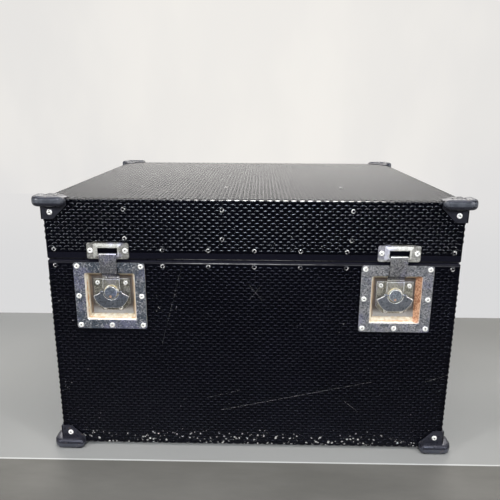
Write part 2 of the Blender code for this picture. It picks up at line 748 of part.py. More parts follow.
def corner_places():
    for level, prefix in ((-1, "base"), (1, "lid")):
        for side_y, depth_name in ((-1, "front"), (1, "back")):
            for side_x, width_name in ((-1, "left"), (1, "right")):
                yield prefix, f"{depth_name}_{width_name}", corner_transform(side_x, side_y, level)


def build_corners():
    pattern = corner_mesh()
    for prefix, place_name, transform in corner_places():
        mesh = pattern.copy()
        mesh.transform(transform)
        if transform.determinant() < 0:
            mesh.flip_normals()
        corner = bpy.data.objects.new(f"{prefix}_corner_{place_name}", mesh)
        bpy.context.scene.collection.objects.link(corner)
        finish(corner, CORNER_BLACK)


# Latches

def build_dish(prefix, frame):
    flange_middle = (0, (FLANGE_ABOVE_HUB - FLANGE_BELOW_HUB) / 2)
    flange_half = (FLANGE_ABOVE_HUB + FLANGE_BELOW_HUB) / 2
    mouth_middle = (0, (MOUTH_ABOVE_HUB - MOUTH_BELOW_HUB) / 2)
    mouth_half = (MOUTH_ABOVE_HUB + MOUTH_BELOW_HUB) / 2

    def flange_loop(out):
        points = rounded_rectangle(FLANGE_WIDTH / 2, flange_half, FLANGE_CORNER, flange_middle)
        return [facing_out(x, z, out) for x, z in points]

    def mouth_loop(grow, out):
        half_x = MOUTH_WIDTH / 2 + grow
        points = rounded_rectangle(half_x, mouth_half + grow, MOUTH_CORNER + SHEET, mouth_middle)
        return [facing_out(x, z, out) for x, z in points]

    loops = [
        mouth_loop(-WALL_LEAN, DISH_FLOOR),
        mouth_loop(0, FLANGE_FACE),
        flange_loop(FLANGE_FACE),
        flange_loop(FLANGE_BACK),
        mouth_loop(SHEET, FLANGE_BACK),
        mouth_loop(SHEET - WALL_LEAN, DISH_BACK),
    ]
    dish = loft(f"{prefix}_latch_dish", loops)
    notch_foot = MOUTH_ABOVE_HUB - WALL_LEAN - SHEET
    notch = extrude("notch", rectangle(-NOTCH_HALF, NOTCH_HALF, notch_foot,
                                       FLANGE_ABOVE_HUB + CUT_OVERRUN),
                    YOKE_BACK - SEAT, FLANGE_FACE + CUT_OVERRUN, facing_out)
    bore = extrude("bore", circle(SPINDLE_RADIUS + SEAT, HOLE_SIDES, flat=True),
                   DISH_BACK - CUT_OVERRUN, DISH_FLOOR + CUT_OVERRUN, facing_out)
    cut(dish, notch, bore)
    half = FLANGE_WIDTH / 2 - DISH_RIVET_EDGE
    top = FLANGE_ABOVE_HUB - DISH_RIVET_EDGE
    foot = -FLANGE_BELOW_HUB + DISH_RIVET_EDGE
    spots = ((-half, top), (half, top), (-half, -DISH_RIVET_SINK), (half, -DISH_RIVET_SINK),
             (-half, foot), (0, foot), (half, foot))
    places = [spot(across, up, FLANGE_FACE) for across, up in spots]
    fuse(dish, rivet_heads(places, RIVET_RADIUS, RIVET_HEIGHT))
    finish(dish, ZINC, frame)


def build_base_plate(prefix, frame):
    half = BASE_PLATE_WIDTH / 2
    outline = [
        (-half, -BASE_PLATE_FOOT + BASE_PLATE_CUT), (-half + BASE_PLATE_CUT, -BASE_PLATE_FOOT),
        (half - BASE_PLATE_CUT, -BASE_PLATE_FOOT), (half, -BASE_PLATE_FOOT + BASE_PLATE_CUT),
        (half, BASE_PLATE_TOP), (-half, BASE_PLATE_TOP),
    ]
    plate = extrude(f"{prefix}_latch_plate", outline, BASE_PLATE_BACK, BASE_PLATE_FACE, facing_out)
    bore = extrude("bore", circle(SPINDLE_RADIUS + SEAT, HOLE_SIDES, flat=True),
                   BASE_PLATE_BACK - CUT_OVERRUN, BASE_PLATE_FACE + CUT_OVERRUN, facing_out)
    cut(plate, bore)
    upper = BASE_PLATE_WIDTH / 2 - PLATE_RIVET_EDGE
    lower = PLATE_RIVET_FOOT_SPAN / 2
    spots = ((-upper, PLATE_RIVET_UP), (upper, PLATE_RIVET_UP),
             (-lower, -PLATE_RIVET_DOWN), (lower, -PLATE_RIVET_DOWN))
    places = [spot(across, up, BASE_PLATE_FACE) for across, up in spots]
    fuse(plate, rivet_heads(places, SMALL_RIVET_RADIUS, SMALL_RIVET_HEIGHT))
    finish(plate, ZINC, frame)


def build_hub(prefix, frame):
    """Spindle, eccentric cam and hub turned and milled from one bar, with the wing pin's bore."""
    cam_middle = (0, -CAM_THROW)
    sections = (
        (SPINDLE_RADIUS, (0, 0), SPINDLE_END),
        (SPINDLE_RADIUS, (0, 0), BASE_PLATE_FACE + SEAT),
        (CAM_RADIUS, cam_middle, BASE_PLATE_FACE + SEAT),
        (CAM_RADIUS, cam_middle, HUB_BACK),
        (HUB_RADIUS, (0, 0), HUB_BACK),
        (HUB_RADIUS, (0, 0), HUB_FACE_OUT - HUB_CHAMFER),
        (HUB_RADIUS - HUB_CHAMFER, (0, 0), HUB_FACE_OUT),
    )
    loops = []
    for radius, middle, out in sections:
        loops.append([facing_out(x, z, out) for x, z in circle(radius, HUB_SIDES, middle)])
    hub = loft(f"{prefix}_latch_hub", loops)
    reach = HUB_RADIUS + CUT_OVERRUN
    bore = extrude("bore", circle(WING_PIN_RADIUS + SEAT, PIN_SIDES, (WING_PIN_OUT, 0), flat=True),
                   -reach, reach, along_width)
    finish(cut(hub, bore), BRASS_STEEL, frame)


def wing_eye_radius():
    """The wing's eye clears the hub's face corner while the wing lifts about its pin."""
    swing = HUB_FACE_OUT - WING_PIN_OUT + WING_THICKNESS / 2
    return math.hypot(HUB_RADIUS, swing) + SEAT


def wing_ear_start():
    return HUB_RADIUS + WING_GAP


def build_wing(prefix, frame):
    right = [(x * WING_RADIUS, z * WING_RADIUS) for x, z in WING_OUTLINE_SHARES]
    outline = right + [(-x, z) for x, z in reversed(right)]
    wing = extrude(f"{prefix}_latch_wing", outline, WING_BACK, WING_FACE, facing_out)
    eye = extrude("eye", circle(wing_eye_radius(), HUB_SIDES, flat=True),
                  WING_BACK - CUT_OVERRUN, WING_FACE + CUT_OVERRUN, facing_out)
    cut(wing, eye)
    start = wing_ear_start()
    ears = []
    for side in (-1, 1):
        ears.append(extrude("ear", circle(WING_EAR_RADIUS, PIN_SIDES, (WING_PIN_OUT, 0), flat=True),
                            side * start, side * (start + WING_EAR_LENGTH), along_width))
    fuse(wing, *ears)
    reach = start + WING_EAR_LENGTH + CUT_OVERRUN
    bore = extrude("bore", circle(WING_PIN_RADIUS + SEAT, PIN_SIDES, (WING_PIN_OUT, 0), flat=True),
                   -reach, reach, along_width)
    cut(wing, bore)
    finish(wing, ZINC, frame, facing_out(0, 0, WING_PIN_OUT))
    pin_reach = start + WING_EAR_LENGTH
    pin = extrude(f"{prefix}_wing_pin", circle(WING_PIN_RADIUS, PIN_SIDES, (WING_PIN_OUT, 0), flat=True),
                  -pin_reach, pin_reach, along_width)
    finish(pin, BRIGHT_STEEL, frame)


def build_yoke(prefix, frame):
    """A frame round the cam, with two knuckles at its top and a folded lip round its head."""
    half = YOKE_WIDTH / 2
    slot_half_width = CAM_RADIUS + CAM_THROW + CAM_SIDE_CLEARANCE
    slot_half_height = CAM_RADIUS + CAM_END_CLEARANCE
    slot_low = -CAM_THROW - slot_half_height
    slot_high = -CAM_THROW + slot_half_height
    foot = slot_low - YOKE_FOOT
    head = KNUCKLE_HEIGHT - YOKE_NECK
    gap_half = KNUCKLE_WIDTH / 2 + KNUCKLE_SIDE_GAP
    knuckle_half = STRAP_WIDTH / 2
    outline = [
        (-half, foot), (half, foot), (half, head), (knuckle_half, head),
        (knuckle_half, KNUCKLE_HEIGHT), (gap_half, KNUCKLE_HEIGHT), (gap_half, head),
        (-gap_half, head), (-gap_half, KNUCKLE_HEIGHT), (-knuckle_half, KNUCKLE_HEIGHT),
        (-knuckle_half, head), (-half, head),
    ]
    yoke = extrude(f"{prefix}_latch_yoke", outline, YOKE_BACK, YOKE_FACE, facing_out)
    slot = extrude("slot", rectangle(-slot_half_width, slot_half_width, slot_low, slot_high),
                   YOKE_BACK - CUT_OVERRUN, YOKE_FACE + CUT_OVERRUN, facing_out)
    cut(yoke, slot)
    lip_face = YOKE_FACE + YOKE_LIP_RISE
    lip_outline = [
        (half, YOKE_LIP_START), (half, head), (-half, head), (-half, YOKE_LIP_START),
        (-half + YOKE_LIP, YOKE_LIP_START), (-half + YOKE_LIP, head - YOKE_LIP),
        (half - YOKE_LIP, head - YOKE_LIP), (half - YOKE_LIP, YOKE_LIP_START),
    ]
    lip = extrude("lip", lip_outline, YOKE_FACE - YOKE_THICKNESS / 2, lip_face, facing_out)
    knuckles = []
    for side in (-1, 1):
        low, high = sorted((side * gap_half, side * knuckle_half))
        knuckles.append(extrude("knuckle", circle(KNUCKLE_RADIUS, PIN_SIDES,
                                                  (KNUCKLE_OUT, KNUCKLE_HEIGHT), flat=True),
                                low, high, along_width))
    fuse(yoke, lip, *knuckles)
    reach = knuckle_half + CUT_OVERRUN
    bore = extrude("bore", circle(KNUCKLE_PIN_RADIUS + SEAT, PIN_SIDES,
                                  (KNUCKLE_OUT, KNUCKLE_HEIGHT), flat=True),
                   -reach, reach, along_width)
    finish(cut(yoke, bore), ZINC, frame)


def build_hasp(prefix, frame):
    """A strap stepped from the keeper down into the dish, with a hook above and a knuckle below."""
    leaf_back = YOKE_BACK + SEAT
    leaf_face = leaf_back + STRAP_THICKNESS
    leaf_foot = KNUCKLE_HEIGHT + KNUCKLE_RADIUS + KNUCKLE_SIDE_GAP
    step_inner = STRAP_STEP_HEIGHT - STRAP_STEP_FALL
    hook_top = HOOK_FOOT + STRAP_THICKNESS
    profile = [
        (HOOK_INSET, hook_top), (HOOK_INSET, HOOK_FOOT), (STRAP_BACK, HOOK_FOOT),
        (STRAP_BACK, STRAP_STEP_HEIGHT + STRAP_THICKNESS), (leaf_back, step_inner + STRAP_THICKNESS),
        (leaf_back, leaf_foot), (leaf_face, leaf_foot), (leaf_face, step_inner),
        (STRAP_FACE, STRAP_STEP_HEIGHT), (STRAP_FACE, hook_top),
    ]
    half = STRAP_WIDTH / 2
    hasp = extrude(f"{prefix}_latch_hasp", profile, -half, half, along_width)
    knuckle_half = KNUCKLE_WIDTH / 2
    neck = extrude("neck", rectangle(leaf_back, leaf_face, KNUCKLE_HEIGHT,
                                     leaf_foot + STRAP_THICKNESS / 2),
                   -knuckle_half, knuckle_half, along_width)
    knuckle = extrude("knuckle", circle(KNUCKLE_RADIUS, PIN_SIDES,
                                        (KNUCKLE_OUT, KNUCKLE_HEIGHT), flat=True),
                      -knuckle_half, knuckle_half, along_width)
    fuse(hasp, neck, knuckle)
    bore = extrude("bore", circle(KNUCKLE_PIN_RADIUS + SEAT, PIN_SIDES,
                                  (KNUCKLE_OUT, KNUCKLE_HEIGHT), flat=True),
                   -knuckle_half - CUT_OVERRUN, knuckle_half + CUT_OVERRUN, along_width)
    cut(hasp, bore)
    finish(hasp, ZINC, frame, facing_out(0, KNUCKLE_HEIGHT, KNUCKLE_OUT))
    pin = extrude(f"{prefix}_hasp_pin", circle(KNUCKLE_PIN_RADIUS, PIN_SIDES,
                                               (KNUCKLE_OUT, KNUCKLE_HEIGHT), flat=True),
                  -half, half, along_width)
    finish(pin, BRIGHT_STEEL, frame, facing_out(0, KNUCKLE_HEIGHT, KNUCKLE_OUT))


def build_keeper(prefix, frame):
    plate_middle = (0, KEEPER_FOOT + KEEPER_HEIGHT / 2)
    boss_middle = (0, KEEPER_FOOT + BOSS_ABOVE_FOOT + BOSS_HEIGHT / 2)
    window_middle = (0, WINDOW_FOOT + WINDOW_HEIGHT / 2)

    def plate_loop(out):
        points = rounded_rectangle(KEEPER_WIDTH / 2, KEEPER_HEIGHT / 2, KEEPER_CORNER, plate_middle)
        return [facing_out(x, z, out) for x, z in points]

    def small_loop(width, height, middle, out):
        points = rounded_rectangle(width / 2, height / 2, INNER_FOLD_RADIUS, middle)
        return [facing_out(x, z, out) for x, z in points]

    loops = [
        small_loop(WINDOW_WIDTH, WINDOW_HEIGHT, window_middle, SEAT),
        plate_loop(SEAT),
        plate_loop(KEEPER_FACE),
        small_loop(BOSS_WIDTH, BOSS_HEIGHT, boss_middle, KEEPER_FACE),
        small_loop(WINDOW_WIDTH, WINDOW_HEIGHT, window_middle, BOSS_FACE),
    ]
    keeper = loft(f"{prefix}_keeper", loops, ring=True)
    keeper_rivet = KEEPER_WIDTH / 2 - KEEPER_RIVET_EDGE
    places = [spot(across, KEEPER_FOOT + KEEPER_RIVET_UP, KEEPER_FACE)
              for across in (-keeper_rivet, keeper_rivet)]
    fuse(keeper, rivet_heads(places, RIVET_RADIUS, RIVET_HEIGHT))
    finish(keeper, ZINC, frame)


def build_latches():
    for prefix, side in (("left", -1), ("right", 1)):
        frame = face_frame(f"{prefix}_latch_frame", FRONT, side * LATCH_ACROSS, HUB_HEIGHT)
        build_dish(prefix, frame)
        build_base_plate(prefix, frame)
        build_hub(prefix, frame)
        build_wing(prefix, frame)
        build_yoke(prefix, frame)
        build_hasp(prefix, frame)
        build_keeper(prefix, frame)


# Hinges

def hinge_radial(radius, angle, aside):
    """A point at an angle above the outward direction, moved aside from that radius."""
    return (HINGE_AXIS_OUT + radius * math.cos(angle) - aside * math.sin(angle),
            radius * math.sin(angle) + aside * math.cos(angle))


def lip_outline(start, end, inset, upper):
    """Section of a stop lip whose face meets the other leaf's lip when the lid is open."""
    half = LID_OPENS / 2
    near = SEAT / 2 + inset
    far = SEAT / 2 + STOP_LIP_THICKNESS - inset
    sign = 1 if upper else -1
    corners = ((start, near), (end, near), (end, far), (start, far))
    return [hinge_radial(radius, sign * half, sign * aside) for radius, aside in corners]


def build_hinge_leaf(name, upper, frame):
    sign = 1 if upper else -1
    half = HINGE_WIDTH / 2
    pitch = HINGE_WIDTH / HINGE_KNUCKLES
    gap = HINGE_KNUCKLE_GAP / 2
    plate_face = SEAT + HINGE_LEAF_THICKNESS
    clear = math.sqrt((HINGE_BARREL_RADIUS + STOP_LIP_CLEARANCE) ** 2
                      - (HINGE_AXIS_OUT - plate_face) ** 2)
    low, high = sorted((sign * clear, sign * HINGE_LEAF_LENGTH))
    leaf = extrude(name, rectangle(-half, half, low, high), SEAT, plate_face, facing_out)
    lip_start = HINGE_BARREL_RADIUS + STOP_LIP_CLEARANCE
    lip = lip_outline(lip_start, STOP_LIP_REACH, 0, upper)
    parts = [extrude("lip", lip, -half, half, along_width)]
    for index in range(HINGE_KNUCKLES):
        if (index % 2 == 1) != upper:
            continue
        start = -half + index * pitch + (gap if index else 0)
        end = -half + (index + 1) * pitch - (gap if index < HINGE_KNUCKLES - 1 else 0)
        barrel = circle(HINGE_BARREL_RADIUS, HOLE_SIDES, (HINGE_AXIS_OUT, 0), flat=True)
        parts.append(extrude("barrel", barrel, start, end, along_width))
        neck_low, neck_high = sorted((0, sign * (clear + HINGE_LEAF_THICKNESS)))
        neck = rectangle(SEAT * 2, plate_face + SEAT, neck_low, neck_high)
        parts.append(extrude("neck", neck, start + gap, end - gap, along_width))
        web = lip_outline(HINGE_PIN_RADIUS + SEAT, STOP_LIP_REACH - STOP_LIP_THICKNESS, SEAT, upper)
        parts.append(extrude("web", web, start + gap, end - gap, along_width))
    fuse(leaf, *parts)
    bore = extrude("bore", circle(HINGE_PIN_RADIUS + SEAT, PIN_SIDES, (HINGE_AXIS_OUT, 0), flat=True),
                   -half - CUT_OVERRUN, half + CUT_OVERRUN, along_width)
    cut(leaf, bore)
    edge = half - HINGE_RIVET_EDGE
    foot = HINGE_LEAF_LENGTH - HINGE_RIVET_FOOT
    places = [spot(across, sign * up, plate_face)
              for across in (-edge, edge) for up in (foot, foot - HINGE_RIVET_ROW)]
    fuse(leaf, rivet_heads(places, SMALL_RIVET_RADIUS, SMALL_RIVET_HEIGHT))
    finish(leaf, ZINC, frame)


def build_hinges():
    for prefix, side in (("left", 1), ("right", -1)):
        frame = face_frame(f"{prefix}_hinge_frame", BACK, side * HINGE_ACROSS, PARTING)
        build_hinge_leaf(f"{prefix}_hinge_base_leaf", False, frame)
        build_hinge_leaf(f"{prefix}_hinge_lid_leaf", True, frame)
        half = HINGE_WIDTH / 2
        crown = HINGE_PIN_RADIUS * PIN_CROWN_SHARE
        loops = []
        for radius, across in ((crown, -half - crown), (HINGE_PIN_RADIUS, -half),
                               (HINGE_PIN_RADIUS, half), (crown, half + crown)):
            section = circle(radius, PIN_SIDES, (HINGE_AXIS_OUT, 0), flat=True)
            loops.append([along_width(out, up, across) for out, up in section])
        pin = loft(f"{prefix}_hinge_pin", loops)
        finish(pin, BRIGHT_STEEL, frame, facing_out(0, 0, HINGE_AXIS_OUT))


# Handles

def handle_mouth(grow, out):
    points = rounded_rectangle(HANDLE_MOUTH_WIDTH / 2 + grow, HANDLE_MOUTH_HEIGHT / 2 + grow,
                               HANDLE_WALL_LEAN + SHEET)
    return [facing_out(x, z, out) for x, z in points]


def build_handle_dish(prefix, frame):
    def flange(out):
        points = rounded_rectangle(HANDLE_FLANGE_WIDTH / 2, HANDLE_FLANGE_HEIGHT / 2, FLANGE_CORNER)
        return [facing_out(x, z, out) for x, z in points]

    back = -HANDLE_DEPTH - SHEET
    loops = [
        handle_mouth(-HANDLE_WALL_LEAN, -HANDLE_DEPTH),
        handle_mouth(0, FLANGE_FACE),
        flange(FLANGE_FACE),
        flange(FLANGE_BACK),
        handle_mouth(SHEET, FLANGE_BACK),
        handle_mouth(SHEET - HANDLE_WALL_LEAN, back),
    ]
    dish = loft(f"{prefix}_handle_dish", loops)
    ears = []
    inner = BAIL_SPAN / 2 + BAIL_RADIUS + EAR_GAP
    for side in (-1, 1):
        low, high = sorted((side * inner, side * (inner + EAR_THICKNESS)))
        outline = rectangle(-HANDLE_DEPTH - SHEET / 2, BAIL_PIVOT_OUT + EAR_HALF_HEIGHT - SHEET,
                            BAIL_PIVOT_UP - EAR_HALF_HEIGHT, BAIL_PIVOT_UP + EAR_HALF_HEIGHT)
        ears.append(extrude("ear", outline, low, high, along_width))
    fuse(dish, *ears)
    reach = inner + EAR_THICKNESS + SEAT
    bores = []
    for side in (-1, 1):
        low, high = sorted((side * (inner - EAR_GAP), side * reach))
        hole = circle(BAIL_RADIUS + SEAT, BAIL_SIDES, (BAIL_PIVOT_OUT, BAIL_PIVOT_UP), flat=True)
        bores.append(extrude("bore", hole, low, high, along_width))
    cut(dish, *bores)
    half = HANDLE_FLANGE_WIDTH / 2 - HANDLE_RIVET_EDGE
    rise = HANDLE_FLANGE_HEIGHT / 2 - HANDLE_RIVET_EDGE
    places = [spot(across, up, FLANGE_FACE) for across in (-half, 0, half) for up in (-rise, rise)]
    fuse(dish, rivet_heads(places, RIVET_RADIUS, RIVET_HEIGHT))
    finish(dish, ZINC, frame)


def bail_path():
    """Centre line of the bail, from one pivot stub down, across and up to the other."""
    half = BAIL_SPAN / 2
    stub = half + BAIL_STUB + BAIL_RADIUS
    foot = BAIL_PIVOT_UP - BAIL_DROP
    path = [(-stub, BAIL_PIVOT_UP)]
    bends = (
        (-half - 0, BAIL_PIVOT_UP, BAIL_RADIUS, math.pi / 2, math.pi),
        (-half, foot, BAIL_BEND, math.pi, math.pi * 3 / 2),
        (half, foot, BAIL_BEND, math.pi * 3 / 2, math.tau),
        (half, BAIL_PIVOT_UP, BAIL_RADIUS, 0, math.pi / 2),
    )
    for index, (corner_x, corner_z, radius, start, end) in enumerate(bends):
        inward = 1 if corner_x < 0 else -1
        if index in (0, 3):
            centre = (corner_x - inward * radius, corner_z - radius)
        else:
            centre = (corner_x + inward * radius, corner_z + radius)
        for step in range(BEND_STEPS + 1):
            share = step / BEND_STEPS
            if index == 0:
                angle = math.pi / 2 - share * math.pi / 2
            elif index == 3:
                angle = math.pi - share * math.pi / 2
            else:
                angle = start + share * (end - start)
            path.append((centre[0] + radius * math.cos(angle), centre[1] + radius * math.sin(angle)))
    path.append((stub, BAIL_PIVOT_UP))
    return [Vector(point) for point in path]


def build_bail(prefix, frame):
    path = bail_path()
    section = circle(BAIL_RADIUS, BAIL_SIDES, flat=True)
    loops = []
    for index, spot in enumerate(path):
        before = path[max(index - 1, 0)]
        after = path[min(index + 1, len(path) - 1)]
        along = (after - before).normalized()
        aside = Vector((-along.y, along.x))
        loop = []
        for out, across in section:
            point = spot + aside * across
            loop.append(facing_out(point.x, point.y, BAIL_PIVOT_OUT + out))
        loops.append(loop)
    pivot = facing_out(0, BAIL_PIVOT_UP, BAIL_PIVOT_OUT)
    finish(loft(f"{prefix}_handle_bail", loops), BRIGHT_STEEL, frame, pivot)


def build_grip(prefix, frame):
    """A ribbed rubber sleeve on the bail's cross bar."""
    middle = (BAIL_PIVOT_OUT, BAIL_PIVOT_UP - BAIL_DROP)
    half = GRIP_LENGTH / 2
    pitch = GRIP_LENGTH / GRIP_RIBS
    stations = [(BAIL_RADIUS + SEAT, -half)]
    for rib in range(GRIP_RIBS):
        start = -half + rib * pitch
        stations.append((GRIP_RADIUS - GRIP_GROOVE, start))
        stations.append((GRIP_RADIUS, start + pitch / 2))
    stations.append((GRIP_RADIUS - GRIP_GROOVE, half))
    stations.append((BAIL_RADIUS + SEAT, half))
    loops = []
    for radius, across in stations:
        section = circle(radius, GRIP_SIDES, middle, flat=True)
        loops.append([along_width(out, up, across) for out, up in section])
    pivot = facing_out(0, BAIL_PIVOT_UP, BAIL_PIVOT_OUT)
    finish(loft(f"{prefix}_handle_grip", loops, ring=True), GRIP_RUBBER, frame, pivot)


def build_handles():
    for prefix, turn in (("left", LEFT), ("right", RIGHT)):
        frame = face_frame(f"{prefix}_handle_frame", turn, 0, PARTING - HANDLE_BELOW_PARTING)
        build_handle_dish(prefix, frame)
        build_bail(prefix, frame)
        build_grip(prefix, frame)


# Lining and brackets

def build_lining():
    half_width = CASE_WIDTH / 2 - LINING_INSET
    half_depth = CASE_DEPTH / 2 - LINING_INSET
    floor = CASE_BOTTOM + LINING_INSET
    top = PARTING - RIM_INNER_REACH - SEAT
    radius = INNER_FOLD_RADIUS

    def tray_loop(inset, height):
        points = rounded_rectangle(half_width - inset, half_depth - inset, radius + inset / 2)
        return [standing(x, y, height) for x, y in points]

    loops = [
        tray_loop(0, floor), tray_loop(0, top),
        tray_loop(FOAM_WALL, top), tray_loop(FOAM_WALL, floor + FOAM_FLOOR),
    ]
    tray = loft("base_foam", loops)
    pockets = []
    for side in (-1, 1):
        depth = -SPINDLE_END + FOAM_RELIEF
        half = MOUTH_WIDTH / 2 + SHEET
        outline = rectangle(-half, half, -MOUTH_BELOW_HUB - SHEET, NOTCH_TOP)
        pocket = extrude("pocket", outline, -depth, 0, facing_out)
        place = (side * LATCH_ACROSS, -CASE_DEPTH / 2, HUB_HEIGHT)
        pocket.data.transform(Matrix.Translation(place))
        pockets.append(pocket)
        near = CASE_WIDTH / 2 - HANDLE_DEPTH - SHEET - FOAM_RELIEF
        low_x, high_x = sorted((side * near, side * CASE_WIDTH / 2))
        middle = PARTING - HANDLE_BELOW_PARTING
        low = (low_x, -HANDLE_MOUTH_WIDTH / 2, middle - HANDLE_MOUTH_HEIGHT / 2)
        high = (high_x, HANDLE_MOUTH_WIDTH / 2, middle + HANDLE_MOUTH_HEIGHT / 2)
        pockets.append(box("pocket", low, high))
    finish(cut(tray, *pockets), FOAM_GREY)

    bracket_gap = BRACKET_SHEET + SEAT
    pad_top = CASE_TOP - LINING_INSET - bracket_gap
    pad = box("lid_foam",
              (-half_width, -half_depth + bracket_gap, pad_top - LID_FOAM),
              (half_width, half_depth, pad_top))
    finish(pad, FOAM_GREY)


def build_brackets():
    """Three angle brackets under the lid, riveted to its front and its top."""
    front = -CASE_DEPTH / 2 + LINING_INSET
    top = CASE_TOP - LINING_INSET
    profile = [
        (front, top), (front, top - BRACKET_LEG), (front + BRACKET_SHEET, top - BRACKET_LEG),
        (front + BRACKET_SHEET, top - BRACKET_SHEET), (front + BRACKET_ARM, top - BRACKET_SHEET),
        (front + BRACKET_ARM, top),
    ]
    for name, share in zip(("left", "middle", "right"), BRACKET_CENTRE_SHARES):
        centre = share * CASE_WIDTH
        loops = []
        for across in (centre - BRACKET_WIDTH / 2, centre + BRACKET_WIDTH / 2):
            loops.append([Vector((across, back, up)) for back, up in profile])
        finish(loft(f"lid_{name}_bracket", loops), ZINC)


build_skins()
build_panels()
build_rims()
build_corners()
build_latches()
build_hinges()
build_handles()
build_lining()
build_brackets()
bpy.context.view_layer.update()

pieces = [piece for piece in bpy.context.scene.objects if piece.type == "MESH"]
triangles = 0
for piece in pieces:
    piece.data.calc_loop_triangles()
    triangles += len(piece.data.loop_triangles)
print(f"{len(pieces)} pieces, {triangles} triangles")
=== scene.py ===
# %% [markdown]
# A flight case in cells: a plywood box under black embossed sheet, with rotary draw latches in
# pressed dishes, capped corners, hinges and end handles. The rigid frame comes from the packed
# model, so every new piece here is placed in metres in that same frame and rides on its body.

# %% Tools and the frame
import math

import bmesh
import bpy
import numpy as np
from mathutils import Matrix, Vector


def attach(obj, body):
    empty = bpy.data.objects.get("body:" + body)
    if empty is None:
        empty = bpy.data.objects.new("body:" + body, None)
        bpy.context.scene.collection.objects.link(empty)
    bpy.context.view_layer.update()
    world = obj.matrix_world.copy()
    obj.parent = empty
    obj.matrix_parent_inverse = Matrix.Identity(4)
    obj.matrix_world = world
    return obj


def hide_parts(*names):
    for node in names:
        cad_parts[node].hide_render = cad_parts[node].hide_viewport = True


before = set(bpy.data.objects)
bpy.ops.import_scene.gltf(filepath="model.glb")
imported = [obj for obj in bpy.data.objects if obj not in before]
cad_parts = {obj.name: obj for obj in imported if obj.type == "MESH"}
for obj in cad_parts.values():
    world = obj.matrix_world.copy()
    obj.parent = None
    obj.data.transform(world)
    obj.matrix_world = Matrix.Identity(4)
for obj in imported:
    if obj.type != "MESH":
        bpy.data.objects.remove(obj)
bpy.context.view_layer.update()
scene = bpy.context.scene
scene.view_settings.view_transform = "Standard"

# %% [markdown]
# The sizes that the new pieces share with the frame. Depths are measured outwards from the
# embossed sheet, so a negative depth lies inside the case. The case's own lowest and highest
# corners are given as fixed numbers, those of the frame's skins.

# %% Sizes of the case
MM = 0.001
case_low, case_high = Vector((-0.3175, -0.2775, 0.0055)), Vector((0.3175, 0.2775, 0.4215))
PARTING = 0.3271
BASE_BAND = 0.0061
LID_BAND = 0.0116
SKIN_GAP = 0.0003
LATCH_X = 0.2225
HUB_Z = 0.2734
HINGE_X = 0.195
HANDLE_Z = 0.2071
FRONT, BACK, LEFT, RIGHT = 0.0, math.pi, -math.pi / 2, math.pi / 2


def on_side(turn, across=0.0, up=0.0, out=0.0):
    """A matrix that stands a piece, modelled facing -Y at the origin, on one side of the case."""
    reach = case_high.y if turn in (FRONT, BACK) else case_high.x
    return Matrix.Rotation(turn, 4, "Z") @ Matrix.Translation((across, -reach - out, up))


# %% [markdown]
# The camera stands where the photographer stood: its place and angles were solved from the
# case's corners, at a focal length of 526.5 pixels in a frame 500 pixels wide.

# %% Camera
FOCAL_PIXELS = 526.53
FRAME_PIXELS = 500
camera_data = bpy.data.cameras.new("camera")
camera_data.sensor_width = 36.0
camera_data.lens = FOCAL_PIXELS * camera_data.sensor_width / FRAME_PIXELS
camera = bpy.data.objects.new("camera", camera_data)
scene.collection.objects.link(camera)
heading = Matrix.Rotation(math.radians(1.0724), 4, "Z")
tilt = Matrix.Rotation(math.radians(90.0 - 15.0027), 4, "X")
roll = Matrix.Rotation(math.radians(0.3237), 4, "Z")
camera.matrix_world = Matrix.Translation((0.01017, -1.05321, 0.55306)) @ heading @ tilt @ roll
scene.camera = camera
print("lens, mm:", round(camera_data.lens, 2))

# %% [markdown]
# Materials are built from nodes. A few small helpers keep each recipe short: one adds a node,
# one makes a noise, and one turns a value into a soft mask. Patterns read Object coordinates,
# which here are metres in the case's own frame, so they stay put when a piece moves.

# %% Helpers for materials


